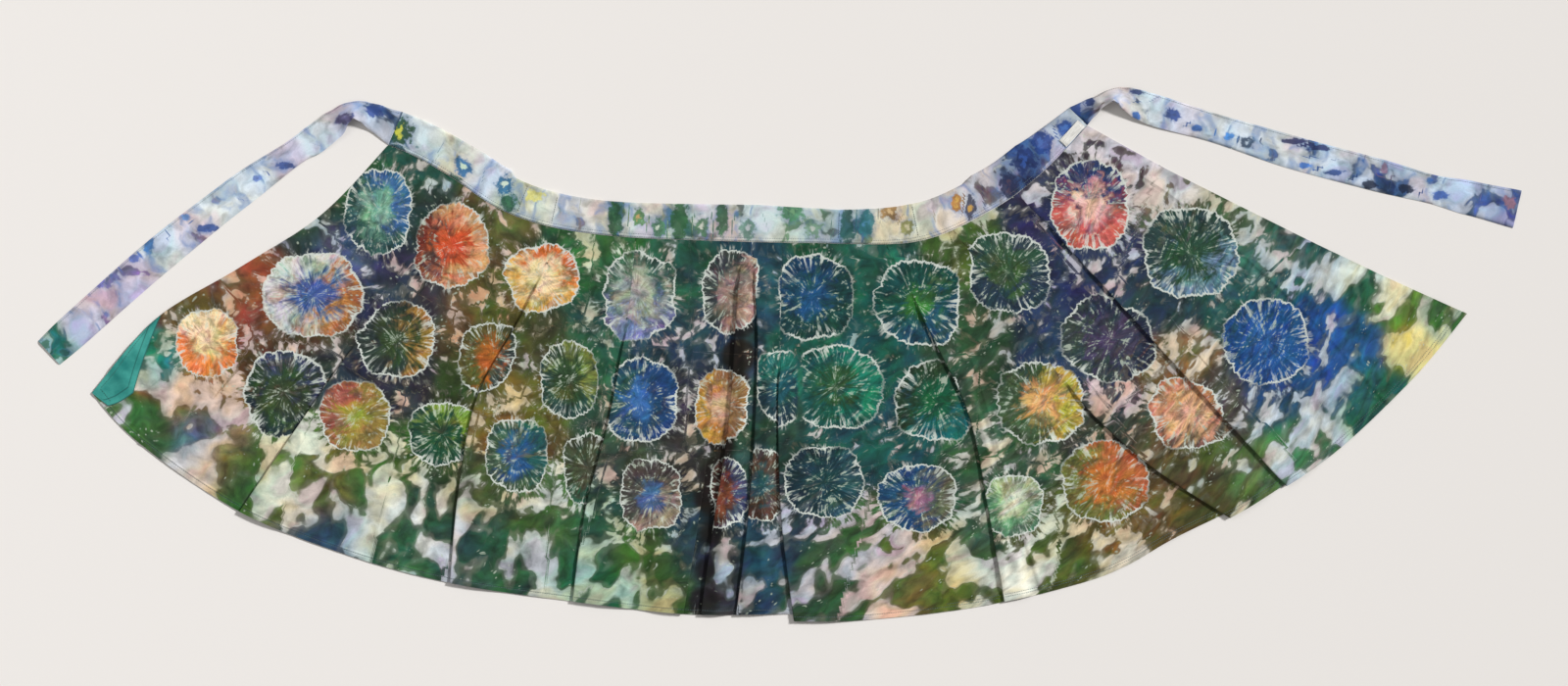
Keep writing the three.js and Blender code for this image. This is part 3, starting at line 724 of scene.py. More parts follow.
def pour_fields(plan, rows):
    """Each dye = sum of weight x dye / sum of weight, weight = exp(-1.6 (distance / reach)^2)."""
    total = np.full(plan.shape[:-1], 1e-9)
    dark, pale = np.zeros(plan.shape[:-1] + (3,)), np.zeros(plan.shape[:-1] + (3,))
    amount = total * 0
    for x, y, reach, dark_hex, pale_hex, how_pale in rows:
        away = np.linalg.norm(plan - from_frame(x, y), axis=-1) / (reach * PIXEL_MM)
        on_top = (POUR_USUAL / reach) ** 2
        weight = np.exp(-POUR_FALL * away**2) * on_top + FAR_WEIGHT / (0.1 + away**2)
        total = total + weight
        dark += weight[..., None] * linear(dark_hex)
        pale += weight[..., None] * linear(pale_hex)
        amount = amount + weight * how_pale
    return {"dye_dark": dark / total[..., None], "dye_pale": pale / total[..., None],
            "pale": amount / total}


cloth.update(ring_fields(cloth, RINGS))
cloth.update(pour_fields(cloth["plan"], POURS))
in_rings = np.linalg.norm(cloth["ring"][..., :2], axis=-1) < 1
print("share of the points that lie in a ring:", round(float(in_rings.mean()), 2))

# %% [markdown]
# ## From grids to closed walls
#
# Every cloth piece here is a closed wall between an upper and an under grid of points, joined
# by a rim. The upper side is kept in one part of the bake map and the under side in another,
# both laid out as the cloth was cut, so that folded layers never share a patch of the map.
# %% Wall builder
BAKE_TOP = 0.72  # share of the bake map's height that the upper side takes
BAKE_GAP = 0.02
BAKE_MARGIN = 0.01  # share of the map kept free at each side


def surface_normals(points):
    """Across the grid crossed with down the grid, made unit length."""
    down, across = np.gradient(points, axis=0), np.gradient(points, axis=1)
    normal = np.cross(down, across)
    return normal / np.maximum(np.linalg.norm(normal, axis=-1, keepdims=True), 1e-9)


def wall_faces(rows, cols):
    """Upper, under and rim quads of a wall on a grid, all facing outwards."""
    index = np.arange(rows * cols).reshape(rows, cols)
    a, b, c, d = index[:-1, :-1], index[1:, :-1], index[1:, 1:], index[:-1, 1:]
    upper = np.stack([a, b, c, d], -1).reshape(-1, 4)
    under = upper[:, ::-1] + rows * cols
    ring = np.concatenate([index[:, 0], index[-1, 1:], index[-2::-1, -1], index[0, -2:0:-1]])
    after = np.roll(ring, -1)
    rim = np.stack([ring, ring + rows * cols, after + rows * cols, after], -1)
    return upper, under, rim


print("quads in a wall of 3 by 3 points:", sum(len(part) for part in wall_faces(3, 3)))

# %% Make a wall


def bake_places(cut, loops, quads):
    """The cut place as shares of its box, squeezed into the map's lower part for upper faces
    and rims and into the rest for under faces."""
    count = cut.shape[0] * cut.shape[1]
    low, high = cut.reshape(-1, 2).min(axis=0), cut.reshape(-1, 2).max(axis=0)
    flat = ((cut - low) / (high - low)).reshape(-1, 2) * (1 - 2 * BAKE_MARGIN) + BAKE_MARGIN
    top = flat * [1, BAKE_TOP]
    below = flat * [1, 1 - BAKE_TOP - BAKE_GAP] + [0, BAKE_TOP + BAKE_GAP]
    face = np.arange(len(loops)) // 4
    is_under = ((face >= quads) & (face < 2 * quads))[:, None]
    return np.where(is_under, below[loops % count], top[loops % count])


def make_wall(name, upper, under, cut, fields, material, node=None):
    """Both grids' points x 0.001 as one mesh, with its bake map and the fields as attributes."""
    rows, cols = upper.shape[:2]
    faces = np.concatenate(wall_faces(rows, cols))
    points = np.concatenate([upper.reshape(-1, 3), under.reshape(-1, 3)]) * MM
    mesh = bpy.data.meshes.new(name)
    mesh.from_pydata(points.tolist(), [], faces.tolist())
    uv = bake_places(cut, faces.ravel(), (rows - 1) * (cols - 1))
    layer = mesh.uv_layers.new(name="OFBake")
    layer.data.foreach_set("uv", uv.astype(np.float32).ravel())
    fields = dict(fields, cloth=np.concatenate([cut * MM, np.zeros(cut.shape[:2] + (1,))], -1))
    for key, value in fields.items():
        value = np.asarray(value, float)
        doubled = np.concatenate([value.reshape(rows * cols, -1)] * 2)
        kind, slot_name = {1: ("FLOAT", "value"), 3: ("FLOAT_VECTOR", "vector")}[doubled.shape[1]]
        attribute = mesh.attributes.new(key, kind, "POINT")
        attribute.data.foreach_set(slot_name, doubled.astype(np.float32).ravel())
    mesh.shade_smooth()
    mesh.set_sharp_from_angle(angle=math.radians(60))
    mesh.materials.append(material)
    piece = bpy.data.objects.new(name, mesh)
    bpy.context.collection.objects.link(piece)
    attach(piece, "root")
    if node:
        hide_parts(node)
    print(f"{name}: {2 * len(faces)} triangles")
    return piece


print("share of the bake map for upper sides:", BAKE_TOP)

# %% [markdown]
# ## The dyed cotton
#
# Plain-woven cotton dyed with fibre-reactive dye: the dye is in the thread, so the colour is
# matt and a little uneven, with a faint sheen of loose fibre. A picture could carry the
# pattern, but nodes that read the fields on the mesh keep it sharp at any size, and each ring
# can be moved by its row in the table. One small function adds every node.
# %% Node helper


def add(tree, kind, *inputs, out=0, at=(), **settings):
    """Adds a node, sets it, links or sets its inputs, and returns one of its outputs."""
    made = tree.nodes.new("ShaderNode" + kind)
    for key, value in settings.items():
        setattr(made, key, value)
    for key, value in [*enumerate(inputs), *dict(at).items()]:
        if isinstance(value, bpy.types.NodeSocket):
            tree.links.new(value, made.inputs[key])
        elif value is not None:
            made.inputs[key].default_value = value
    return made.outputs[out]


SMOOTH = {"interpolation_type": "SMOOTHSTEP"}  # a MapRange that eases in and out
COLOURS = {"data_type": "RGBA", "out": 2}  # a Mix of the colours at inputs 6 and 7
print("node settings used again and again:", SMOOTH, COLOURS)

# %% Material start


def new_material(name, roughness, sheen, specular=0.25):
    """A material with an empty Principled shader, its tree, and the shader's inputs."""
    material = bpy.data.materials.new(name)
    material.use_nodes = True
    shader = material.node_tree.nodes["Principled BSDF"].inputs
    shader["Roughness"].default_value = roughness
    shader["Sheen Weight"].default_value = sheen
    shader["Sheen Roughness"].default_value = 0.5
    shader["Specular IOR Level"].default_value = specular
    return material, material.node_tree, shader


def cells(size):
    """The noise scale for cells as long as a size in millimetres: 1 / the size in metres."""
    return 1 / (size * MM)


print("a blot of 26 mm is a noise scale of", round(cells(26), 1))

# %% [markdown]
# ## Weave
#
# Light plain-woven cotton has a thread every 0.4 mm. That is finer than a pixel here, so the
# weave is drawn six times as coarse, and the thicker threads that spinning leaves, the slubs,
# are drawn at their real length. It is a bump and not a mesh, because it is finer than the mesh.
# %% Weave
THREAD_SPACING = 0.4
DRAWN_COARSER = 6
SLUB_LENGTH = 2.4
WEAVE_DEPTH = 0.4


def weave_bump(tree, shader, place, strength):
    """Bump height = sin(x) sin(y) / 4 + slub noise, with a wave for each drawn thread."""
    turns = 2 * math.pi * cells(THREAD_SPACING * DRAWN_COARSER)
    waves = [add(tree, "Math", add(tree, "Math", add(tree, "SeparateXYZ", place, out=axis), turns,
                                   operation="MULTIPLY"), operation="SINE") for axis in (0, 1)]
    threads = add(tree, "Math", *waves, operation="MULTIPLY")
    slub = add(tree, "TexNoise", place, at={"Scale": cells(SLUB_LENGTH), "Detail": 3.0})
    height = add(tree, "Math", threads, 0.25, slub, operation="MULTIPLY_ADD")
    bump = add(tree, "Bump", at={"Strength": strength, "Distance": WEAVE_DEPTH * MM, "Height": height})
    tree.links.new(bump, shader["Normal"])
    return slub


def woven(tree, shader, place, colour, strength):
    """The weave's bump, and the colour x 0.92 to 1.08 by its slubs as the base colour."""
    slub = weave_bump(tree, shader, place, strength)
    shade = add(tree, "MapRange", slub, 0.2, 0.8, 0.92, 1.08)
    colour = add(tree, "VectorMath", colour, at={"Scale": shade}, operation="SCALE")
    tree.links.new(colour, shader["Base Color"])


print("drawn thread spacing in mm:", THREAD_SPACING * DRAWN_COARSER)

# %% [markdown]
# ## Where a mark falls
#
# Wet dye creeps, so no edge of it is straight: every place is pushed about by slow noise before
# a blot is looked up there. A ring is looked up by its direction from the middle instead, which
# gives rays, and a line that wanders as a thread pulled round a pinch of cloth does.
# %% Places and motifs
DRIFT_SIZE, DRIFT_REACH = 45, 45
TONE_SIZE = 19


def dye_places(tree):
    """The place on the cut cloth, and the place pushed about: place + (noise - 1/2) x reach."""
    place = add(tree, "Attribute", attribute_name="cloth", out="Vector")
    push = add(tree, "TexNoise", place, at={"Scale": cells(DRIFT_SIZE)}, out=1)
    push = add(tree, "VectorMath", push, (0.5, 0.5, 0.5), operation="SUBTRACT")
    push = add(tree, "VectorMath", push, at={"Scale": DRIFT_REACH * MM}, operation="SCALE")
    return place, add(tree, "VectorMath", place, push, operation="ADD")


def find_motif(tree):
    """The offset from the nearest motif's middle, its direction with a seed, and its length."""
    ring = add(tree, "Attribute", attribute_name="ring", out="Vector")
    offset = add(tree, "VectorMath", ring, (1, 1, 0), operation="MULTIPLY")
    seed = add(tree, "VectorMath", ring, (0, 0, 1), operation="MULTIPLY")
    way = add(tree, "VectorMath", offset, operation="NORMALIZE")
    return {"offset": offset, "way": add(tree, "VectorMath", way, seed, operation="ADD"),
            "even": add(tree, "VectorMath", offset, operation="LENGTH", out="Value")}


def rays(tree, motif, stretch, scale, detail=3.0):
    """Noise looked up at direction + stretch x offset: the less stretch, the longer the rays."""
    along = add(tree, "VectorMath", motif["offset"], at={"Scale": stretch}, operation="SCALE")
    along = add(tree, "VectorMath", motif["way"], along, operation="ADD")
    return add(tree, "TexNoise", along, at={"Scale": scale, "Detail": detail, "Roughness": 0.62})


def wander(tree, motif):
    """r = distance + 0.44 slow + 0.26 quick noise by direction - 0.35, so that 1 is the line."""
    slow = add(tree, "TexNoise", motif["way"], at={"Scale": 1.4, "Detail": 1.0})
    quick = add(tree, "TexNoise", motif["way"], at={"Scale": 6.5, "Detail": 3.0, "Roughness": 0.75})
    r = add(tree, "Math", slow, 0.44, motif["even"], operation="MULTIPLY_ADD")
    r = add(tree, "Math", quick, 0.26, r, operation="MULTIPLY_ADD")
    return add(tree, "Math", r, 0.35, operation="SUBTRACT"), slow, quick


def clear_of_next(tree):
    """1 where one ring is clearly the nearest, falling to 0 where a second is as near."""
    parting = add(tree, "Attribute", attribute_name="parting", out="Fac")
    return add(tree, "MapRange", parting, 0.06, 0.26, **SMOOTH)


print("the dye creeps up to", DRIFT_REACH / 2, "mm")

# %% [markdown]
# ## Poured dye
#
# Between the rings a dark dye is broken by pale blots where the folded cloth kept it out. A
# blot's inside is a thin wash of other colours, darker or paler as more or less dye reached it.
# Below the last rings the cloth was folded wide, so the blots there are long wedges.
# %% Poured dye
EDGE_WHITE = (*linear("d2d8d0"), 1)
WASH_TINTS = [(0.36, "a49cc4"), (0.43, "a4c4cc"), (0.5, "ccd0d0"), (0.58, "ccc4a4"), (0.66, "d0a088")]
HUE_SIZE, WASH_SIZE, BROAD_SIZE = 36, 62, 90


def dark_dye(tree, moved, tone):
    """The pours' dark dye x tone, its hue turned by coloured noise laid over it."""
    broad = add(tree, "TexNoise", moved, at={"Scale": cells(BROAD_SIZE), "Detail": 2.0})
    shade = add(tree, "Math", add(tree, "MapRange", tone, 0.3, 0.7, 0.5, 1.5),
                add(tree, "MapRange", broad, 0.35, 0.65, 0.75, 1.3), operation="MULTIPLY")
    dark = add(tree, "Attribute", attribute_name="dye_dark", out="Vector")
    dark = add(tree, "VectorMath", dark, at={"Scale": shade}, operation="SCALE")
    hue = add(tree, "TexNoise", moved, at={"Scale": cells(HUE_SIZE), "Detail": 2.0}, out=1)
    return add(tree, "Mix", 0.8, at={6: dark, 7: hue}, blend_type="OVERLAY", **COLOURS)


def pale_wash(tree, moved, tone, over):
    """The pours' pale dye mixed with tints, brighter the further the blot is over its level."""
    drift = add(tree, "TexNoise", moved, at={"Scale": cells(WASH_SIZE), "Detail": 2.0})
    ramp = add(tree, "ValToRGB", drift)
    stops = ramp.node.color_ramp.elements
    for k, (at, code) in enumerate(WASH_TINTS):
        stop = stops[k] if k < 1 else stops.new(at)
        stop.position, stop.color = at, (*linear(code), 1)
    stops.remove(stops[-1])
    pale = add(tree, "Attribute", attribute_name="dye_pale", out="Vector")
    wash = add(tree, "Mix", 0.36, at={6: pale, 7: ramp}, **COLOURS)
    light = add(tree, "MapRange", add(tree, "Math", tone, over, operation="ADD"), 0.34, 0.78, 0.55, 1.3)
    return add(tree, "VectorMath", wash, at={"Scale": light}, operation="SCALE")


def pour(tree, moved, tone, blot, level):
    """Dark dye where blot noise is under its level, wash where it is over, half of each between."""
    over = add(tree, "Math", blot, level, operation="SUBTRACT")
    dark, wash = dark_dye(tree, moved, tone), pale_wash(tree, moved, tone, over)
    thin = add(tree, "VectorMath", wash, (0.46, 0.48, 0.40), operation="MULTIPLY")
    dark = add(tree, "Mix", add(tree, "MapRange", over, -0.07, -0.02, 0.0, 0.4, **SMOOTH),
               at={6: dark, 7: thin}, **COLOURS)
    through = add(tree, "MapRange", over, -0.015, 0.03, **SMOOTH)
    colour = add(tree, "Mix", through, at={6: dark, 7: wash}, **COLOURS)
    near = add(tree, "Math", add(tree, "Math", over, 0.004, operation="SUBTRACT"), operation="ABSOLUTE")
    edge = add(tree, "Math", add(tree, "MapRange", near, 0.012, 0.002, 0.0, 0.4, **SMOOTH),
               add(tree, "MapRange", tone, 0.48, 0.62, **SMOOTH), operation="MULTIPLY")
    return dark, add(tree, "Mix", edge, at={6: colour, 7: EDGE_WHITE}, **COLOURS)


print("sizes of hue and wash changes in mm:", HUE_SIZE, WASH_SIZE)

# %% [markdown]
# ## Rings
#
# Inside its line a ring has a heart, a body and a side of other colours that run into each
# other along the creases of the pinch. Dye reached the outside of each crease and not its
# depth, which leaves rays and small pale marks. The thread left the white line, thick and thin.
# %% Ring colours
SPECK_PALE = (*linear("b4c0ae"), 1)
SPECK_SIZE, SPECK_PATCH = 8, 33
PATCH_SIZE, MOTTLE_SIZE, RING_HUE_SIZE = 24, 13, 22


def speckle(tree, place, moved):
    """Small round marks, where distance to a Voronoi point is short, in patches of noise."""
    dots = add(tree, "TexVoronoi", moved, at={"Scale": cells(SPECK_SIZE)}, out="Distance")
    where = add(tree, "TexNoise", place, at={"Scale": cells(SPECK_PATCH), "Detail": 1.0})
    return add(tree, "Math", add(tree, "MapRange", dots, 0.30, 0.14, 0.0, 0.6, **SMOOTH),
               add(tree, "MapRange", where, 0.53, 0.66, **SMOOTH), operation="MULTIPLY")


def ring_inside(tree, moved, tone, ray, ground):
    """Heart to body by reach, body to side by lean, both moved by rays and tone."""
    heart, body, side = (add(tree, "Attribute", attribute_name="ring_" + name, out="Vector")
                         for name in ("heart", "body", "side"))
    reach, lean = (add(tree, "Attribute", attribute_name="ring_" + name, out="Fac")
                   for name in ("reach", "lean"))
    reach = add(tree, "Math", tone, 3.2, add(tree, "Math", ray, 1.8, reach, operation="MULTIPLY_ADD"),
                operation="MULTIPLY_ADD")
    lean = add(tree, "Math", tone, 2.4, add(tree, "Math", ray, 0.9, lean, operation="MULTIPLY_ADD"),
               operation="MULTIPLY_ADD")
    to_side = add(tree, "MapRange", lean, 1.5, 2.3, **SMOOTH)
    to_body = add(tree, "MapRange", reach, 3.0, 4.0, **SMOOTH)
    body = add(tree, "Mix", to_side, at={6: body, 7: side}, **COLOURS)
    inner = add(tree, "Mix", to_body, at={6: heart, 7: body}, **COLOURS)
    patch = add(tree, "TexNoise", moved, at={"Scale": cells(PATCH_SIZE), "Detail": 3.0, "Roughness": 0.6})
    patch = add(tree, "Math", ray, 0.4, patch, operation="MULTIPLY_ADD")
    return add(tree, "Mix", add(tree, "MapRange", patch, 0.70, 0.80, 0.0, 0.5, **SMOOTH),
               at={6: inner, 7: ground}, **COLOURS)


def ring_mottle(tree, moved, ray, inner):
    """The inside x rays x patchy noise, its hue turned, with small pale marks."""
    patchy = add(tree, "TexNoise", moved, at={"Scale": cells(MOTTLE_SIZE), "Detail": 4.0, "Roughness": 0.7})
    light = add(tree, "Math", add(tree, "MapRange", ray, 0.3, 0.7, 0.58, 1.35),
                add(tree, "MapRange", patchy, 0.32, 0.68, 0.5, 1.3), operation="MULTIPLY")
    inner = add(tree, "VectorMath", inner, at={"Scale": light}, operation="SCALE")
    hue = add(tree, "TexNoise", moved, at={"Scale": cells(RING_HUE_SIZE), "Detail": 2.0}, out=1)
    inner = add(tree, "Mix", 0.5, at={6: inner, 7: hue}, blend_type="OVERLAY", **COLOURS)
    pale = add(tree, "Math", ray, 0.8, patchy, operation="MULTIPLY_ADD")
    return add(tree, "Mix", add(tree, "MapRange", pale, 0.98, 1.10, 0.0, 0.7, **SMOOTH),
               at={6: inner, 7: SPECK_PALE}, **COLOURS)


print("specks of", SPECK_SIZE, "mm in patches of", SPECK_PATCH, "mm")

# %% Ring line


def thread_line(tree, r, slow, quick, ray):
    """White where |r - 1| is small, thick and thin with quick noise, and on teeth outside it."""
    tooth = add(tree, "Math", add(tree, "MapRange", ray, 0.55, 0.64, 0.0, 0.65, **SMOOTH),
                add(tree, "MapRange", r, 1.18, 1.02, **SMOOTH), operation="MULTIPLY")
    tooth = add(tree, "Math", tooth, add(tree, "MapRange", r, 0.98, 1.0, **SMOOTH), operation="MULTIPLY")
    off = add(tree, "Math", add(tree, "Math", r, 1.0, operation="SUBTRACT"), operation="ABSOLUTE")
    off = add(tree, "Math", off, add(tree, "MapRange", quick, 0.3, 0.7, 0.0, 0.026), operation="SUBTRACT")
    resist = add(tree, "Math", add(tree, "MapRange", off, 0.019, 0.0, 0.0, 0.84, **SMOOTH), tooth,
                 operation="MAXIMUM")
    return add(tree, "Math", resist, add(tree, "MapRange", slow, 0.34, 0.5, 0.3, 1.0, **SMOOTH),
               operation="MULTIPLY")


def ring_ticks(tree, r, slow, ray):
    """Short white rays just inside the line, on the sides where slow noise is high."""
    tick = add(tree, "Math", add(tree, "MapRange", ray, 0.52, 0.61, 0.0, 0.75, **SMOOTH),
               add(tree, "MapRange", r, 0.6, 0.97, **SMOOTH), operation="MULTIPLY")
    return add(tree, "Math", tick, add(tree, "MapRange", slow, 0.38, 0.52, **SMOOTH), operation="MULTIPLY")


print("the line is up to", round(2 * (0.019 + 0.026) * 40 * PIXEL_MM, 1), "mm wide on a ring of 40")

# %% [markdown]
# The panels' cotton lays these together: poured dye first, then each ring's inside, then the
# white line. Near a ring the blots turn into petals that point away from it.
# %% Tie-dyed cotton
BLOT_SIZE, WIDE_SIZE = 31, 74


def panel_blots(tree, motif, moved):
    """Blot noise: petals near a ring, round blots between, wide wedges far below."""
    blot = add(tree, "TexNoise", moved, at={"Scale": cells(BLOT_SIZE), "Detail": 2.5, "Roughness": 0.5})
    wide = add(tree, "TexNoise", moved, at={"Scale": cells(WIDE_SIZE), "Detail": 2.0, "Roughness": 0.45})
    wide = add(tree, "Mix", 0.42, at={2: wide, 3: rays(tree, motif, 0.25, 2.4, 1.6)})
    wide = add(tree, "MapRange", wide, 0.3, 0.7, 0.16, 0.84, clamp=False)
    far = add(tree, "MapRange", motif["even"], 1.45, 2.0, **SMOOTH)
    blot = add(tree, "Mix", far, at={2: blot, 3: wide})
    near = add(tree, "MapRange", motif["even"], 1.6, 1.1, 0.0, 0.7, **SMOOTH)
    return add(tree, "Mix", near, at={2: blot, 3: rays(tree, motif, 0.5, 3.8)})


def tie_dyed_cotton():
    """Poured ground, ring insides where r is under 1, then the white line where r is 1."""
    material, tree, shader = new_material("tie_dyed_cotton", roughness=0.85, sheen=0.06)
    place, moved = dye_places(tree)
    motif = find_motif(tree)
    tone = add(tree, "TexNoise", moved, at={"Scale": cells(TONE_SIZE), "Detail": 4.0, "Roughness": 0.52})
    r, slow, quick = wander(tree, motif)
    pale = add(tree, "Attribute", attribute_name="pale", out="Fac")
    level = add(tree, "Math", add(tree, "MapRange", pale, 0.0, 1.0, 0.65, 0.40),
                add(tree, "MapRange", r, 1.3, 1.02, 0.0, 0.05, **SMOOTH), operation="ADD")
    dark, colour = pour(tree, moved, tone, panel_blots(tree, motif, moved), level)
    specks = speckle(tree, place, moved)
    colour = add(tree, "Mix", specks, at={6: colour, 7: SPECK_PALE}, **COLOURS)
    ray = rays(tree, motif, 0.3, 8.0)
    inner = ring_mottle(tree, moved, ray, ring_inside(tree, moved, tone, ray, dark))
    inner = add(tree, "Mix", specks, at={6: inner, 7: SPECK_PALE}, **COLOURS)
    inner = add(tree, "Mix", ring_ticks(tree, r, slow, ray), at={6: inner, 7: EDGE_WHITE}, **COLOURS)
    alone = clear_of_next(tree)
    inside = add(tree, "Math", add(tree, "MapRange", r, 1.01, 0.98, **SMOOTH), alone, operation="MULTIPLY")
    colour = add(tree, "Mix", inside, at={6: colour, 7: inner}, **COLOURS)
    line_share = add(tree, "Math", thread_line(tree, r, slow, quick, ray), alone, operation="MULTIPLY")
    colour = add(tree, "Mix", line_share, at={6: colour, 7: EDGE_WHITE}, **COLOURS)
    woven(tree, shader, place, colour, 0.35)
    return material


panel_cotton = tie_dyed_cotton()
print("nodes in the panels' cotton:", len(panel_cotton.node_tree.nodes))

# %% [markdown]
# ## Panels
#
# The three panels are cut out of the gathered cloth at its two seams, which hide under pleats.
# A thin wall is made by moving the surface half a thickness each way along its normals. Each
# panel's cut is measured along the cloth, so it counts what the pleats hide.
# %% Cut the panels
PANELS = ["left_front", "back", "right_front"]
seam_columns = [0, *cloth["seams"], cloth["z"].shape[1] - 1]
surface = np.concatenate([cloth["plan"], cloth["height"][..., None]], axis=-1)
normals = surface_normals(surface)
FIELD_NAMES = ("ring", "ring_heart", "ring_body", "ring_side", "ring_lean", "ring_reach",
               "parting", "dye_dark", "dye_pale", "pale")
SEAM_LINES = [k for k, row in enumerate(LINES) if row["seam"]]


for k, name in enumerate(PANELS):
    columns = slice(seam_columns[k], seam_columns[k + 1] + 1)
    middle, normal = surface[:, columns].copy(), normals[:, columns]
    if k:
        middle[:, 0, :2] += SEAM_GAP * line_ends(SEAM_LINES[k - 1])[3]
    fields = {key: cloth[key][:, columns] for key in FIELD_NAMES}
    half = normal * CLOTH_WALL / 2
    under = middle - half
    under[..., 2] = under[..., 2].clip(min=0)  # where the cloth rests on the table
    panel = make_wall(name + "_cloth", middle + half, under, cloth["cut"][:, columns],
                      fields, panel_cotton, node=name)

# %% [markdown]
# ## Waistband
#
# The band is two layers of cotton pressed flat, so it is a flattened tube: full in the middle
# and thin at its edges. It is a straight band eased round a curve, and small tucks take up the
# cloth that the shorter edge doesn't need.
# %% Waistband
BAND, BAND_EDGE = 2.2, 0.9  # thickness in the middle and at the edges
# along the band, its width there
BAND_WIDTHS = np.array([(0, 51), (60, 52), (172, 57), (184, 50), (330, 49), (560, 53), (672, 48),
                        (780, 54), (884, 52), (900, 57), (990, 54), (WAIST_LENGTH, 36)])
TUCKS = [178, 210, 262, 674, 790, 892]  # along the band
TUCK_RISE, TUCK_RUN = 1.6, 26
BAND_STITCHES = [1.6, 5.6]  # above the seam
DENT_DEPTH, DENT_HALF = 0.5, 0.9
BAND_PULL, BAND_WAVE = 0.35, 1.4


def band_width(along):
    """The finished width of the band at a length along it, in straight runs between the rows."""
    return np.interp(along, *BAND_WIDTHS.T)


def band_plan(along, up):
    """The waist seam's point + up x the seam's direction turned a quarter to the left."""
    reach = 0.5
    way = waist_at(np.minimum(along + reach, WAIST_LENGTH)) - waist_at(np.maximum(along - reach, 0))
    way /= np.linalg.norm(way, axis=-1, keepdims=True)
    return waist_at(along) + np.stack([-way[..., 1], way[..., 0]], axis=-1) * up[..., None]


def pressed(share, edge=0.06):
    """A pressed tube's fullness: a quarter circle up from 0 at each edge, and 1 between them."""
    return np.sqrt(np.clip(1 - (1 - np.clip(np.minimum(share, 1 - share) / edge, 0, 1)) ** 2, 0, 1))


def band_top(along, share):
    """Fullness + a ramp behind each tuck + pulls and a wave as sines - the dents of the rows."""
    up = share * band_width(along)
    rise = BAND_EDGE + (BAND - BAND_EDGE) * pressed(share)
    for tuck in TUCKS:
        behind = tuck - along
        step = np.clip(1 - behind / TUCK_RUN, 0, 1) * smooth((behind + 2) / 2)
        rise = rise + TUCK_RISE * share * step
    pull = BAND_PULL * np.sin(along / 6.5 + up / 9 + 2.2 * np.sin(along / 41)) * smooth(share / 0.3)
    wave = BAND_WAVE * (0.5 + 0.5 * np.sin(along / 37 + 1.3 * np.sin(along / 90))) ** 3 * smooth(share)
    for row in BAND_STITCHES:
        rise = rise - DENT_DEPTH * np.exp(-(((up - row) / DENT_HALF) ** 2))
    return rise + pull * 0.5 + wave


along, share = np.meshgrid(np.linspace(0, WAIST_LENGTH, 400), np.linspace(1, 0, 30))
ups = SEAM_GAP + share * (band_width(along) - SEAM_GAP)
band = {"plan": band_plan(along, ups), "cut": np.stack([along, ups], axis=-1)}
band_upper = np.concatenate([band["plan"], band_top(along, share)[..., None]], axis=-1)
band_under = np.concatenate([band["plan"], (0.5 - 0.4 * pressed(share))[..., None]], axis=-1)
print("band grid:", band_upper.shape)

# %% [markdown]
# ## Ties
#
# Each tie is a pressed tube too. It is sewn to the band's end and bends at once, so the cloth
# on the inside of the bend stands up in a small arch. A row gives a tie's middle, its width in
# plan, and the height of its outer and inner edges.
# %% Tie tables
TIE, TIE_EDGE = 1.8, 0.75  # thickness in the middle and at the edges
TIE_LAYER = 50.0  # the width of the layer that shows
TIE_RIPPLE, TIE_LIFT = 0.45, 1.6
TIE_STITCH = 3.5  # from the edge that its row of stitches closes
# x, y, width, height of the outer edge and of the inner one
LEFT_TIE = [(-546, 320, 51, 0, 0), (-572, 334, 40, 0, 2), (-592, 344, 30, 1, 10), (-608, 346, 25, 3, 17),
            (-622, 339, 30, 2, 14), (-638, 324, 41, 1, 7), (-664, 304, 42, 0, 2), (-692, 286, 37, 0, 1),
            (-776, 226, 47, 0, 0), (-888, 137, 51, 0, 0), (-1000, 38, 50, 0, 0), (-1042, 0, 46, 0, 0)]
RIGHT_TIE = [(428, 338, 36, 0, 0), (444, 349, 27, 1, 5), (459, 359, 19, 3, 13), (474, 367, 18, 5, 17),
             (486, 367, 25, 4, 15), (499, 362, 35, 3, 10), (517, 354, 42, 1, 5), (542, 345, 45, 0, 2),
             (623, 321, 41, 0, 0), (736, 286, 47, 0, 0), (848, 256, 47, 0, 0), (932, 234, 41, 1, 0),
             (988, 221, 49, 0, 0), (1055, 205, 55, 0, 0)]
print("highest point of the arches in mm:", max(row[4] for row in LEFT_TIE + RIGHT_TIE))

# %% Tie plan
TIE_ROOT = 0.1  # share of its length over which a tie leaves the band
SIDES = np.linspace(0.5, -0.5, 17)[:, None]


def tie_plan(rows, band_end, inner_side):
    """Spline point + across x side x width, eased out of the band's end over the first tenth.
    Also gives the width, the outer and inner heights, and the length along the middle."""
    t = np.linspace(0, 1, 300)
    middle = spline(rows[:, :2], t)
    way = np.gradient(middle, axis=0)
    way /= np.linalg.norm(way, axis=-1, keepdims=True)
    across = np.stack([-way[:, 1], way[:, 0]], axis=-1)
    at = t * (len(rows) - 1)
    k = np.minimum(at.astype(int), len(rows) - 2)
    width, outer, inner = mix(rows[k, 2:], rows[k + 1, 2:], smooth(at - k)[:, None]).T
    own = middle[None] + across[None] * (SIDES * width)[..., None]
    end = np.full(len(SIDES), band_end)
    ends = band_plan(end, (0.5 - inner_side * SIDES[:, 0]) * band_width(band_end))
    away = waist_at(band_end) - waist_at(abs(band_end - 1))
    root = ends + away / np.linalg.norm(away) * SEAM_GAP
    plan = mix(root[:, None], own, smooth(t / TIE_ROOT)[None, :, None])
    length = np.concatenate([[0], np.cumsum(np.linalg.norm(np.diff(middle, axis=0), axis=1))])
    return plan, width, outer, inner, length


print("points across a tie:", len(SIDES))

# %% Tie grids


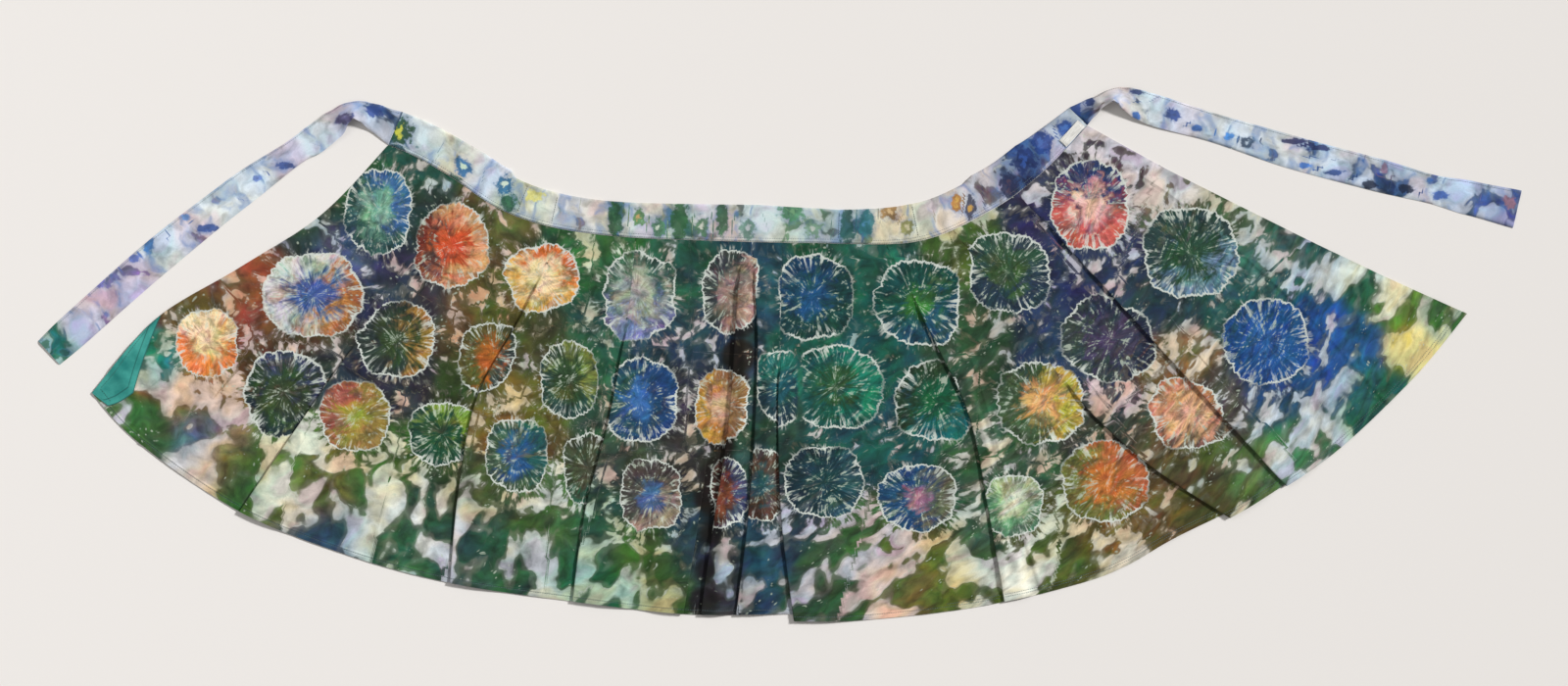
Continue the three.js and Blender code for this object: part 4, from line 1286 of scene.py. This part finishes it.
def make_tie_grid(rows, band_end, inner_side):
    """Height = the arch, leaning from outer to inner edge, + fullness + two sines along the
    tie for its ripple and its lift - the dent of its row of stitches."""
    plan, width, outer, inner, length = tie_plan(np.array(rows, float), band_end, inner_side)
    rest = (outer + inner) / 2 + (inner - outer) * SIDES * inner_side
    share = SIDES + 0.5
    ripple = TIE_RIPPLE * np.sin(length / 13 + 5 * share + 2 * np.sin(length / 50)) * smooth(length / 60)
    lift = TIE_LIFT * (0.5 + 0.5 * np.sin(length / 31 + 2.5 * share)) ** 3 * smooth(length / 90)
    from_edge = (share if inner_side > 0 else 1 - share) * width
    groove = DENT_DEPTH * np.exp(-(((from_edge - TIE_STITCH) / 1.0) ** 2))
    full = pressed(share, 0.08)
    low = rest + 0.06 + 0.55 * (1 - full)
    upper = rest + TIE_EDGE + (TIE - TIE_EDGE) * full + (ripple + lift) * full - groove
    cut = np.stack([np.broadcast_to(length, upper.shape), share * TIE_LAYER + 0 * upper], axis=-1)
    upper, low = (np.concatenate([plan, z[..., None]], axis=-1) for z in (upper, low))
    return {"plan": plan, "cut": cut, "upper": upper, "under": low}


left_tie = make_tie_grid(LEFT_TIE, 0.0, 1)
right_tie = make_tie_grid(RIGHT_TIE, WAIST_LENGTH, -1)
for tie in (left_tie, right_tie):
    print("tie length in mm:", round(float(tie["cut"][..., 0].max())))

# %% [markdown]
# ## Blots on the band and ties
#
# The band and ties were dyed folded up small, so most of the dye stayed out. What got in shows
# as small blots: a dark body, a blue edge where the dye spread, and often a pale heart.
# %% Blot tables
BAND_BLOTS = [  # x, y, half width, half height, heart, body
    (408, 134, 13, 14, "c8c83a", "1e4a24"),
    (472, 171, 8, 9, "c4dcc4", "24608c"),
    (515, 189, 8, 11, "d0e0cc", "205c80"),
    (463, 188, 9, 9, "2f6a44", "22503c"),
    (519, 207, 8, 9, "2f6a44", "24583c"),
    (404, 154, 8, 8, "244f5c", "1c4448"),
    (384, 138, 5, 8, "a8a4bc", "6a7090"),
    (546, 200, 9, 6, "d8d890", "c4c070"),
    (628, 226, 7, 22, "3a6a40", "264f2c"),
    (652, 222, 6, 9, "c09a5a", "4f7a44"),
    (672, 232, 7, 9, "c8d4c0", "4a7a58"),
    (694, 226, 9, 22, "35603a", "2a5530"),
    (716, 232, 7, 10, "c4c8b8", "466a4c"),
    (737, 222, 6, 18, "3f6a48", "2c5636"),
    (762, 234, 8, 9, "b0b8b8", "5a7a6c"),
    (808, 216, 12, 9, "6a9a6a", "4a7f5a"),
    (830, 234, 9, 8, "b8c0b4", "6a8a72"),
    (864, 232, 7, 20, "2a5a5c", "1f4a44"),
    (884, 226, 8, 14, "4a80a0", "2f6a70"),
    (908, 216, 8, 8, "cfae7a", "8a6a3a"),
    (926, 232, 6, 8, "c0b890", "7a7a44"),
    (976, 206, 5, 10, "d8a840", "9a6a24"),
    (990, 212, 5, 12, "c89a3a", "3a3a4a"),
    (1030, 190, 10, 14, "4a3a4a", "20243f"),
    (1045, 163, 13, 14, "2f4f94", "1c2c5c"),
    (1062, 146, 12, 12, "3a60a8", "1f3a78"),
    (1086, 131, 7, 9, "3a68b0", "24488c"),
]
BAND_POURS = [  # x, y, reach, dark dye, pale dye, how pale
    (400, 125, 22, "2a4f8a", "9ab0c0", 0.75),
    (430, 145, 26, "6a8ab0", "c0ccd0", 0.97),
    (455, 158, 20, "8aa060", "c4ccb8", 0.95),
    (478, 165, 16, "c09a50", "d4c8b0", 0.95),
    (498, 180, 20, "7a8ab8", "bcc2d4", 0.95),
    (520, 200, 14, "4a7a3a", "a8bca0", 0.75),
    (545, 212, 18, "8a9a4a", "c8ccb0", 0.92),
    (585, 222, 24, "8a8a90", "c4c4c8", 0.93),
    (630, 228, 18, "3a5a3a", "b4bcb0", 0.60),
    (660, 226, 16, "8a7a5a", "c4c4c0", 0.90),
    (695, 228, 14, "3a6a3a", "a0b498", 0.62),
    (725, 228, 16, "7a6a70", "c4bcbc", 0.85),
    (770, 228, 20, "5a7a6a", "bcc4c0", 0.88),
    (815, 228, 22, "5a8a60", "bccab8", 0.85),
    (855, 230, 14, "4a6a5a", "a8bab0", 0.80),
    (875, 232, 12, "2a5a5a", "88a8a4", 0.60),
    (905, 228, 18, "9a8a5a", "ccc4a8", 0.93),
    (935, 228, 14, "8a8a4a", "c8c4a0", 0.88),
    (970, 216, 20, "9a7a5a", "d0c0b4", 0.94),
    (1010, 205, 18, "6a5a6a", "c8bcc4", 0.90),
    (1035, 180, 14, "20284a", "6a6a90", 0.35),
    (1055, 155, 18, "26407a", "8a90b8", 0.45),
    (1070, 160, 14, "5a5a8a", "c4b0c8", 0.85),
    (1085, 130, 14, "2f5090", "9ab0d0", 0.60),
    (1105, 112, 14, "34589a", "b0c4d8", 0.62),
]
TIE_MARKS = [  # x, y, half width, half height and one colour, where dye caught on a tie's edge
    (383, 112, 9, 7, "2a3f78"),
    # This purple-grey mark at the left tie's bend is painted shade on the inner side of its arch.
    (352, 122, 8, 5, "5a5478"),
    (292, 169, 9, 4, "2f4478"),
    (263, 182, 5, 3, "5a70a8"),
    (213, 233, 11, 4, "2f4880"),
    (189, 222, 4, 4, "5a80b4"),
    (152, 250, 5, 8, "3a70ac"),
    (137, 264, 6, 4, "5a6cac"),
    (101, 288, 7, 5, "6464a4"),
    (46, 352, 5, 6, "3f6a58"),
    (66, 360, 6, 3, "24504a"),
    (1098, 112, 6, 8, "2a4484"),
    (1112, 103, 5, 5, "26386c"),
    (1160, 94, 7, 3, "2c3a68"),
    (1159, 118, 4, 4, "2f5c9c"),
    (1196, 117, 8, 6, "26407c"),
    (1222, 131, 6, 3, "3a64a4"),
    (1254, 140, 5, 4, "3a74b4"),
    (1320, 144, 13, 3, "2a2c54"),
    (1346, 151, 11, 3, "2c3460"),
    (1332, 169, 7, 3, "3a6cb4"),
    (1362, 176, 9, 3, "2f4c88"),
    (1398, 188, 8, 5, "161f34"),
    (1434, 192, 8, 5, "161f34"),
    (1412, 172, 4, 5, "7a6478"),
    (1468, 200, 9, 4, "3a5ca4"),
    (1540, 206, 6, 7, "8c6878"),
]
TIE_EYE = (1272, 146, 6, 6, "b0c0d0", "34465c")
TIE_BLOTS = [(*mark, mark[-1]) for mark in TIE_MARKS] + [TIE_EYE]
TIE_POURS = [  # x, y, reach, dark dye, pale dye, how pale
    (380, 118, 16, "2f4270", "a8b0c8", 0.62),
    (350, 118, 16, "5a4a8a", "b0a8c8", 0.80),
    (325, 134, 18, "8a98b8", "c4ccd4", 0.95),
    (290, 158, 14, "7a70a8", "b4a8c8", 0.85),
    (262, 172, 14, "6a84b8", "bcccdc", 0.95),
    (230, 208, 20, "8aa0c8", "ccd8e0", 1.0),
    (192, 240, 14, "8a80b0", "c4b8cc", 0.90),
    (168, 252, 18, "6a94b8", "bcd0d8", 0.95),
    (140, 280, 14, "7a6aa8", "b8a8c8", 0.85),
    (116, 290, 14, "6a64a8", "a89cc4", 0.80),
    (96, 318, 14, "8a78a8", "bcacc4", 0.90),
    (78, 332, 12, "5a68a0", "9898b8", 0.80),
    (55, 350, 16, "1f6a60", "7ab0a4", 0.60),
    (1106, 106, 10, "26407a", "6a7ab0", 0.45),
    (1122, 102, 10, "8a6a70", "c8b8b4", 0.90),
    (1142, 96, 14, "8a80a0", "c8bcc4", 0.95),
    (1170, 108, 20, "3a5a90", "c0ccd4", 0.90),
    (1205, 122, 18, "4a5a9a", "c4c0d4", 0.84),
    (1250, 134, 22, "3a70b0", "bccad8", 0.93),
    (1290, 150, 20, "4a6aa0", "c0ccd8", 0.90),
    (1340, 168, 22, "4468a8", "b8c8dc", 0.84),
    (1390, 184, 20, "3a5a9c", "b4c4dc", 0.80),
    (1415, 188, 14, "26365c", "8a98b8", 0.50),
    (1460, 194, 20, "3f68a8", "b8cae0", 0.82),
    (1500, 204, 18, "3f5c9c", "a8b8d8", 0.72),
    (1535, 214, 16, "3a4c88", "9aa0c8", 0.66),
]


def blot_fields(grid, blots, pours):
    """Ring and pour fields for a grid with no folds: its unfold and its strips are all 0."""
    shape = grid["plan"].shape
    flat = dict(grid, unfold=np.zeros(shape), strip=np.zeros(shape[:2]), strip_shift=np.zeros((1, 1, 2)))
    rows = [(*blot, blot[-1], 0, 1) for blot in blots]
    return {**ring_fields(flat, rows), **pour_fields(grid["plan"], pours)}


print("blots on the band:", len(BAND_BLOTS), "and on the ties:", len(TIE_BLOTS))

# %% [markdown]
# The same cotton, where little dye reached it: nearly white, with soft veins of blue that ran
# across it along the folds, and the blots of the tables. It is matt and softly shaded.
# %% Veins
EDGE_BLUE = (*linear("4a74ac"), 1)
SMALL_BLOT_SIZE, FRAY_SIZE, VEIN_SIZE = 46, 10, 70
VEIN_STRETCH = 0.25  # a vein runs four times as far across as along


def veins(tree, moved, tone, colour):
    """Blue where |noise - 1/2| is small, with the noise stretched across the strip of cloth."""
    long_way = add(tree, "VectorMath", moved, (1, VEIN_STRETCH, 1), operation="MULTIPLY")
    vein = add(tree, "TexNoise", long_way, at={"Scale": cells(VEIN_SIZE), "Detail": 2.0})
    off = add(tree, "Math", add(tree, "Math", vein, 0.5, operation="SUBTRACT"), operation="ABSOLUTE")
    vein = add(tree, "Math", add(tree, "MapRange", off, 0.045, 0.0, 0.0, 0.6, **SMOOTH),
               add(tree, "MapRange", tone, 0.38, 0.58, **SMOOTH), operation="MULTIPLY")
    return add(tree, "Mix", vein, at={6: colour, 7: EDGE_BLUE}, **COLOURS)


def lay_blots(tree, place, motif, tone, colour):
    """By r, the frayed distance in half sizes: a blue edge under 1.7, the body under 1.15 and
    the heart under 0.45."""
    fray = add(tree, "TexNoise", place, at={"Scale": cells(FRAY_SIZE), "Detail": 3.0, "Roughness": 0.6})
    even = add(tree, "Math", wander(tree, motif)[0], 1.1, operation="SUBTRACT")
    r = add(tree, "Math", fray, 2.2, even, operation="MULTIPLY_ADD")
    alone = clear_of_next(tree)
    spread = add(tree, "Math", add(tree, "MapRange", r, 1.7, 0.7, 0.0, 0.35, **SMOOTH), alone,
                 operation="MULTIPLY")
    colour = add(tree, "Mix", spread, at={6: colour, 7: EDGE_BLUE}, **COLOURS)
    heart, body = (add(tree, "Attribute", attribute_name="ring_" + name, out="Vector")
                   for name in ("heart", "body"))
    shade = add(tree, "MapRange", tone, 0.3, 0.7, 0.6, 1.7)
    body = add(tree, "VectorMath", body, at={"Scale": shade}, operation="SCALE")
    to_body = add(tree, "MapRange", r, 0.1, 0.45, **SMOOTH)
    inner = add(tree, "Mix", to_body, at={6: heart, 7: body}, **COLOURS)
    inside = add(tree, "Math", add(tree, "MapRange", r, 1.15, 0.75, 0.0, 0.9, **SMOOTH), alone,
                 operation="MULTIPLY")
    return add(tree, "Mix", inside, at={6: colour, 7: inner}, **COLOURS)


print("veins about", VEIN_SIZE, "mm apart, blots frayed by", FRAY_SIZE, "mm")

# %% Pale dyed cotton


def pale_dyed_cotton():
    """Poured ground, then veins, then blots, under the same weave."""
    material, tree, shader = new_material("pale_dyed_cotton", roughness=0.85, sheen=0.06)
    place, moved = dye_places(tree)
    tone = add(tree, "TexNoise", moved, at={"Scale": cells(TONE_SIZE), "Detail": 4.0, "Roughness": 0.52})
    blot = add(tree, "TexNoise", moved, at={"Scale": cells(SMALL_BLOT_SIZE), "Detail": 3.0})
    pale = add(tree, "Attribute", attribute_name="pale", out="Fac")
    level = add(tree, "MapRange", pale, 0.0, 1.0, 0.62, 0.36)
    colour = veins(tree, moved, tone, pour(tree, moved, tone, blot, level)[1])
    colour = lay_blots(tree, place, find_motif(tree), tone, colour)
    woven(tree, shader, place, colour, 0.35)
    return material


pale_cotton = pale_dyed_cotton()
print("nodes in the pale cotton:", len(pale_cotton.node_tree.nodes))

# %% Band and tie pieces
band_piece = make_wall("waistband_cloth", band_upper, band_under, band["cut"],
                       blot_fields(band, BAND_BLOTS, BAND_POURS), pale_cotton,
                       node="waistband")
for name, tie in (("left_tie", left_tie), ("right_tie", right_tie)):
    fields = blot_fields(tie, TIE_BLOTS, TIE_POURS)
    piece = make_wall(name + "_cloth", tie["upper"], tie["under"], tie["cut"], fields, pale_cotton,
                      node=name)

# %% [markdown]
# ## The turned corner
#
# The left front corner is turned over, so the wrong side shows. It is made from the panel's own
# plan, between the panel's edge and a line some way in, and lies on the cloth under it. Its
# outer edge is the fold itself, so it is rounded there.
# %% Corner shape
TURNED_CORNER = np.array([(0.735, 1), (0.8, 19), (0.86, 36), (0.9, 48), (0.94, 41), (0.98, 31),
                          (0.998, 4)])  # share of the way down, millimetres in from the edge
TURNED_EDGE = 0.5
CORNER_GAP = 0.35  # over the cloth under it
CORNER_LIFT, LIFT_RUN = 0.5, 4  # away from its outer edge
downs = np.linspace(TURNED_CORNER[0, 0], TURNED_CORNER[-1, 0], 60)
reach = np.interp(downs, *TURNED_CORNER.T)[:, None]
inside = mix(TURNED_EDGE, reach, np.linspace(0, 1, 20)[None])
corner_plan = strip_point(0, inside / strip_width(0, downs)[:, None], downs)
rise = CLOTH_WALL + TABLE_GAP + HEM_RISE + CORNER_GAP + relief(corner_plan, downs)
rise = rise + CORNER_LIFT * (1 - np.exp(-inside / LIFT_RUN))
corner_upper = np.concatenate([corner_plan, (rise + CLOTH_WALL)[..., None]], axis=-1)
corner_under = np.concatenate([corner_plan, rise[..., None]], axis=-1)

# %% [markdown]
# On the wrong side of the cotton the dye has gone through as a cloudy teal, without the rings'
# sharp lines. A dark teal line along the free edge and along a crease beside it is painted
# shade.
# %% Wrong side cotton
TEAL, PALE_TEAL, SHADE_TEAL = ((*linear(code), 1) for code in ("1c7670", "4aa89c", "123f3c"))
CLOUD_SIZE = 33
EDGE_SHADE_WIDTH, CREASE_AT, CREASE_SHADE_WIDTH = 2.2, 11.0, 1.4


def wrong_side_cotton():
    """Teals by cloud noise, with painted shade within 2.2 mm of the free edge and 1.4 mm of a crease."""
    material, tree, shader = new_material("wrong_side_cotton", roughness=0.85, sheen=0.1)
    place = add(tree, "Attribute", attribute_name="cloth", out="Vector")
    cloud = add(tree, "TexNoise", place, at={"Scale": cells(CLOUD_SIZE), "Detail": 4.0})
    cloud = add(tree, "MapRange", cloud, 0.3, 0.7)
    colour = add(tree, "Mix", cloud, at={6: TEAL, 7: PALE_TEAL}, **COLOURS)
    edge = add(tree, "Attribute", attribute_name="from_edge", out="Fac")
    off = add(tree, "Math", add(tree, "Math", edge, CREASE_AT, operation="SUBTRACT"), operation="ABSOLUTE")
    # painted shade: a dark teal line along the free edge and along the crease 11 mm in
    lines = add(tree, "Math", add(tree, "MapRange", edge, EDGE_SHADE_WIDTH, 0.4, 0.0, 0.7, **SMOOTH),
                add(tree, "MapRange", off, CREASE_SHADE_WIDTH, 0.2, 0.0, 0.6, **SMOOTH), operation="MAXIMUM")
    colour = add(tree, "Mix", lines, at={6: colour, 7: SHADE_TEAL}, **COLOURS)
    woven(tree, shader, place, colour, 0.35)
    return material


corner_piece = make_wall("turned_corner_cloth", corner_upper, corner_under, corner_plan,
                         {"from_edge": reach - inside}, wrong_side_cotton(),
                         node="turned_corner")

# %% [markdown]
# ## Label
#
# A small plain tape sewn on by its two short ends, so it bulges a little between them.
# %% Label shape
LABEL_FROM_END, LABEL_LENGTH, LABEL_HEIGHT = 43, 39, 14
LABEL_REST, LABEL_TAPE = 3.2, 0.5  # height of its under side, and thickness
LABEL_HELD = 0.12  # share of its length that each sewn end holds down
steps, up = np.meshgrid(np.linspace(0, 1, 40), np.linspace(1, 0, 14))
label_cut = np.stack([WAIST_LENGTH - LABEL_FROM_END + LABEL_LENGTH * steps, 1 + LABEL_HEIGHT * up], axis=-1)
label_plan = band_plan(label_cut[..., 0], label_cut[..., 1])
free = smooth(np.minimum(steps, 1 - steps) / LABEL_HELD)
rest = LABEL_REST + free * (0.5 + 0.25 * np.sin(steps * 9 + up * 3) + 0.4 * (1 - up) ** 3)
label_upper = np.concatenate([label_plan, (rest + LABEL_TAPE)[..., None]], axis=-1)
label_under = np.concatenate([label_plan, rest[..., None]], axis=-1)
print("label in mm:", LABEL_LENGTH, "by", LABEL_HEIGHT)

# %% [markdown]
# The tape is woven polyester, bleached white. Its filaments are smooth, so it is a little
# shinier than the cotton, with a close weave and fine threads of a greyer white along it.
# %% Label tape
TAPE_WHITE, TAPE_GREY = ((*linear(code), 1) for code in ("eae8e2", "c8c6c0"))
TAPE_THREAD = 1.1


def label_tape():
    """Two whites by noise, stretched ten times along the tape, and the weave."""
    material, tree, shader = new_material("woven_polyester_tape", roughness=0.6, sheen=0.1)
    place = add(tree, "Attribute", attribute_name="cloth", out="Vector")
    threads = add(tree, "VectorMath", place, (0.1, 1, 1), operation="MULTIPLY")
    threads = add(tree, "TexNoise", threads, at={"Scale": cells(TAPE_THREAD), "Detail": 2.0})
    threads = add(tree, "MapRange", threads, 0.4, 0.75)
    colour = add(tree, "Mix", threads, at={6: TAPE_WHITE, 7: TAPE_GREY}, **COLOURS)
    woven(tree, shader, place, colour, 0.2)
    return material


label_piece = make_wall("label_tape_piece", label_upper, label_under, label_cut, {}, label_tape(),
                        node="label")

# %% [markdown]
# ## Stitches
#
# A topstitch is a row of short threads that lie in the dents they pull. Each thread is a small
# six-sided bar, thick in the middle, and all the bars of a row are one mesh.
# %% Stitch builder
STITCH, STITCH_GAP, THREAD = 2.5, 0.8, 0.28
BAR = ((0, 0.45), (0.2, 1), (0.8, 1), (1, 0.45))  # share of its length, of its thickness
LABEL_STITCH, LABEL_STITCH_GAP = 1.6, 0.5


def read_along(values, lengths, where):
    """Each of a row's three values at lengths along it, in straight runs between its points."""
    return np.stack([np.interp(where, lengths, values[:, k]) for k in range(3)], -1)


def sew(name, path, normal, material, stitch=STITCH, gap=STITCH_GAP, thread=THREAD):
    """Bars along a path in millimetres. A point of a bar = its middle line's point + (side x
    cos a + upwards x sin a) x thread x its share of the thickness, at six angles a."""
    lengths = np.concatenate([[0], np.cumsum(np.linalg.norm(np.diff(path, axis=0), axis=1))])
    starts = np.arange(gap, lengths[-1] - stitch, stitch + gap)
    side_up = read_along(normal, lengths, starts)
    side_up /= np.linalg.norm(side_up, axis=-1, keepdims=True)
    first, last = (read_along(path, lengths, where) for where in (starts, starts + stitch))
    way = (last - first) / np.linalg.norm(last - first, axis=-1, keepdims=True)
    side = np.cross(side_up, way)
    rings = []
    for share, radius in BAR:
        middle = mix(first, last, share) + side_up * thread * (0.9 * radius - 0.2)
        for corner in range(6):
            angle = math.radians(60 * corner)
            rings.append(middle + (side * math.cos(angle) + side_up * math.sin(angle)) * thread * radius)
    points = np.stack(rings, axis=1) * MM
    quads = [[r * 6 + c, r * 6 + (c + 1) % 6, (r + 1) * 6 + (c + 1) % 6, (r + 1) * 6 + c]
             for r in range(3) for c in range(6)]
    caps = [[5, 4, 3, 2, 1, 0], [18, 19, 20, 21, 22, 23]]
    faces = [[v + 24 * s for v in face] for s in range(len(starts)) for face in quads + caps]
    mesh = bpy.data.meshes.new(name)
    mesh.from_pydata(points.reshape(-1, 3).tolist(), [], faces)
    mesh.shade_smooth()
    mesh.materials.append(material)
    row = bpy.data.objects.new(name, mesh)
    bpy.context.collection.objects.link(row)
    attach(row, "root")
    print(name, len(starts), "stitches")


print("stitches in 10 mm:", round(10 / (STITCH + STITCH_GAP), 1))

# %% [markdown]
# The thread is spun polyester: two fine strands twisted together, so light breaks on it in
# short dashes. A turn of the twist is 0.7 mm, too fine to show, so it is drawn three times
# as coarse, as noise that shades the colour and raises a bump.
# %% Sewing thread
TWIST, TWIST_COARSER, TWIST_DEPTH = 0.7, 3, 0.08


def sewing_thread(name, code):
    """The colour x 0.7 to 1.25 by noise as long as the drawn twist, which is a bump too."""
    material, tree, shader = new_material(name, roughness=0.6, sheen=0.2)
    place = add(tree, "TexCoord", out="Object")
    twist = add(tree, "TexNoise", place, at={"Scale": cells(TWIST * TWIST_COARSER), "Detail": 2.0})
    shade = add(tree, "MapRange", twist, 0.3, 0.7, 0.7, 1.25)
    colour = add(tree, "VectorMath", tuple(linear(code)), at={"Scale": shade}, operation="SCALE")
    tree.links.new(colour, shader["Base Color"])
    bump = add(tree, "Bump", at={"Strength": 0.5, "Distance": TWIST_DEPTH * MM, "Height": twist})
    tree.links.new(bump, shader["Normal"])
    return material


blue_grey = sewing_thread("blue_grey_polyester_thread", "55696f")
dark_green = sewing_thread("dark_green_polyester_thread", "24423f")
white = sewing_thread("white_polyester_thread", "dcdcd4")
print("threads:", blue_grey.name, dark_green.name, white.name)

# %% Sew the hem
upper_cloth = surface + normals * CLOTH_WALL / 2
from_hem = (1 - shares) * DOWN_LENGTH
SECOND_ROW, SECOND_FROM = 16.5, 0.62  # above the hem, and from this share of the columns on
for name, up, first in (("hem_stitches", HEM_STITCH, 0), ("second_hem_stitches", SECOND_ROW, SECOND_FROM)):
    row = int(np.abs(from_hem - up).argmin())
    columns = slice(int(first * upper_cloth.shape[1]), None)
    sew(name, upper_cloth[row, columns], normals[row, columns], blue_grey)

# %% Sew the band
STITCHED_TUCKS = TUCKS[1:5]


def band_path(along, up):
    """Points on the band's upper side at lengths along it and distances up it."""
    return np.concatenate([band_plan(along, up), band_top(along, up / band_width(along))[:, None]], axis=-1)


def upwards(path):
    """Straight up, for each point of a path."""
    return np.tile([0.0, 0, 1], (len(path), 1))


for k, up in enumerate(BAND_STITCHES):
    run = np.linspace(4, WAIST_LENGTH - 4, 2000)
    path = band_path(run, np.full_like(run, up))
    sew(f"band_stitches_{k + 1}", path, upwards(path), blue_grey)
for k, tuck in enumerate(STITCHED_TUCKS):
    path = band_path(np.full(40, tuck - 1.0), np.linspace(7, band_width(tuck) - 3, 40))
    sew(f"tuck_stitches_{k + 1}", path, upwards(path), dark_green)

# %% Sew the ties, the corner and the label
for name, tie, row in (("left_tie_stitches", left_tie, -2), ("right_tie_stitches", right_tie, 1)):
    sew(name, tie["upper"][row, 4:-2], surface_normals(tie["upper"])[row, 4:-2], blue_grey)
sew("left_join_stitches", left_tie["upper"][2:9, 5], upwards(left_tie["upper"][2:9, 5]), white)
for name, row in (("turned_edge_stitches", corner_upper[2:-9, 3]),
                  ("turned_hem_stitches", corner_upper[-9, 3:-2])):
    sew(name, row, upwards(row), dark_green)
for k, column in enumerate((1, -2)):
    row = label_upper[1:-1, column]
    sew(f"label_stitches_{k + 1}", row, upwards(row), white, stitch=LABEL_STITCH, gap=LABEL_STITCH_GAP)
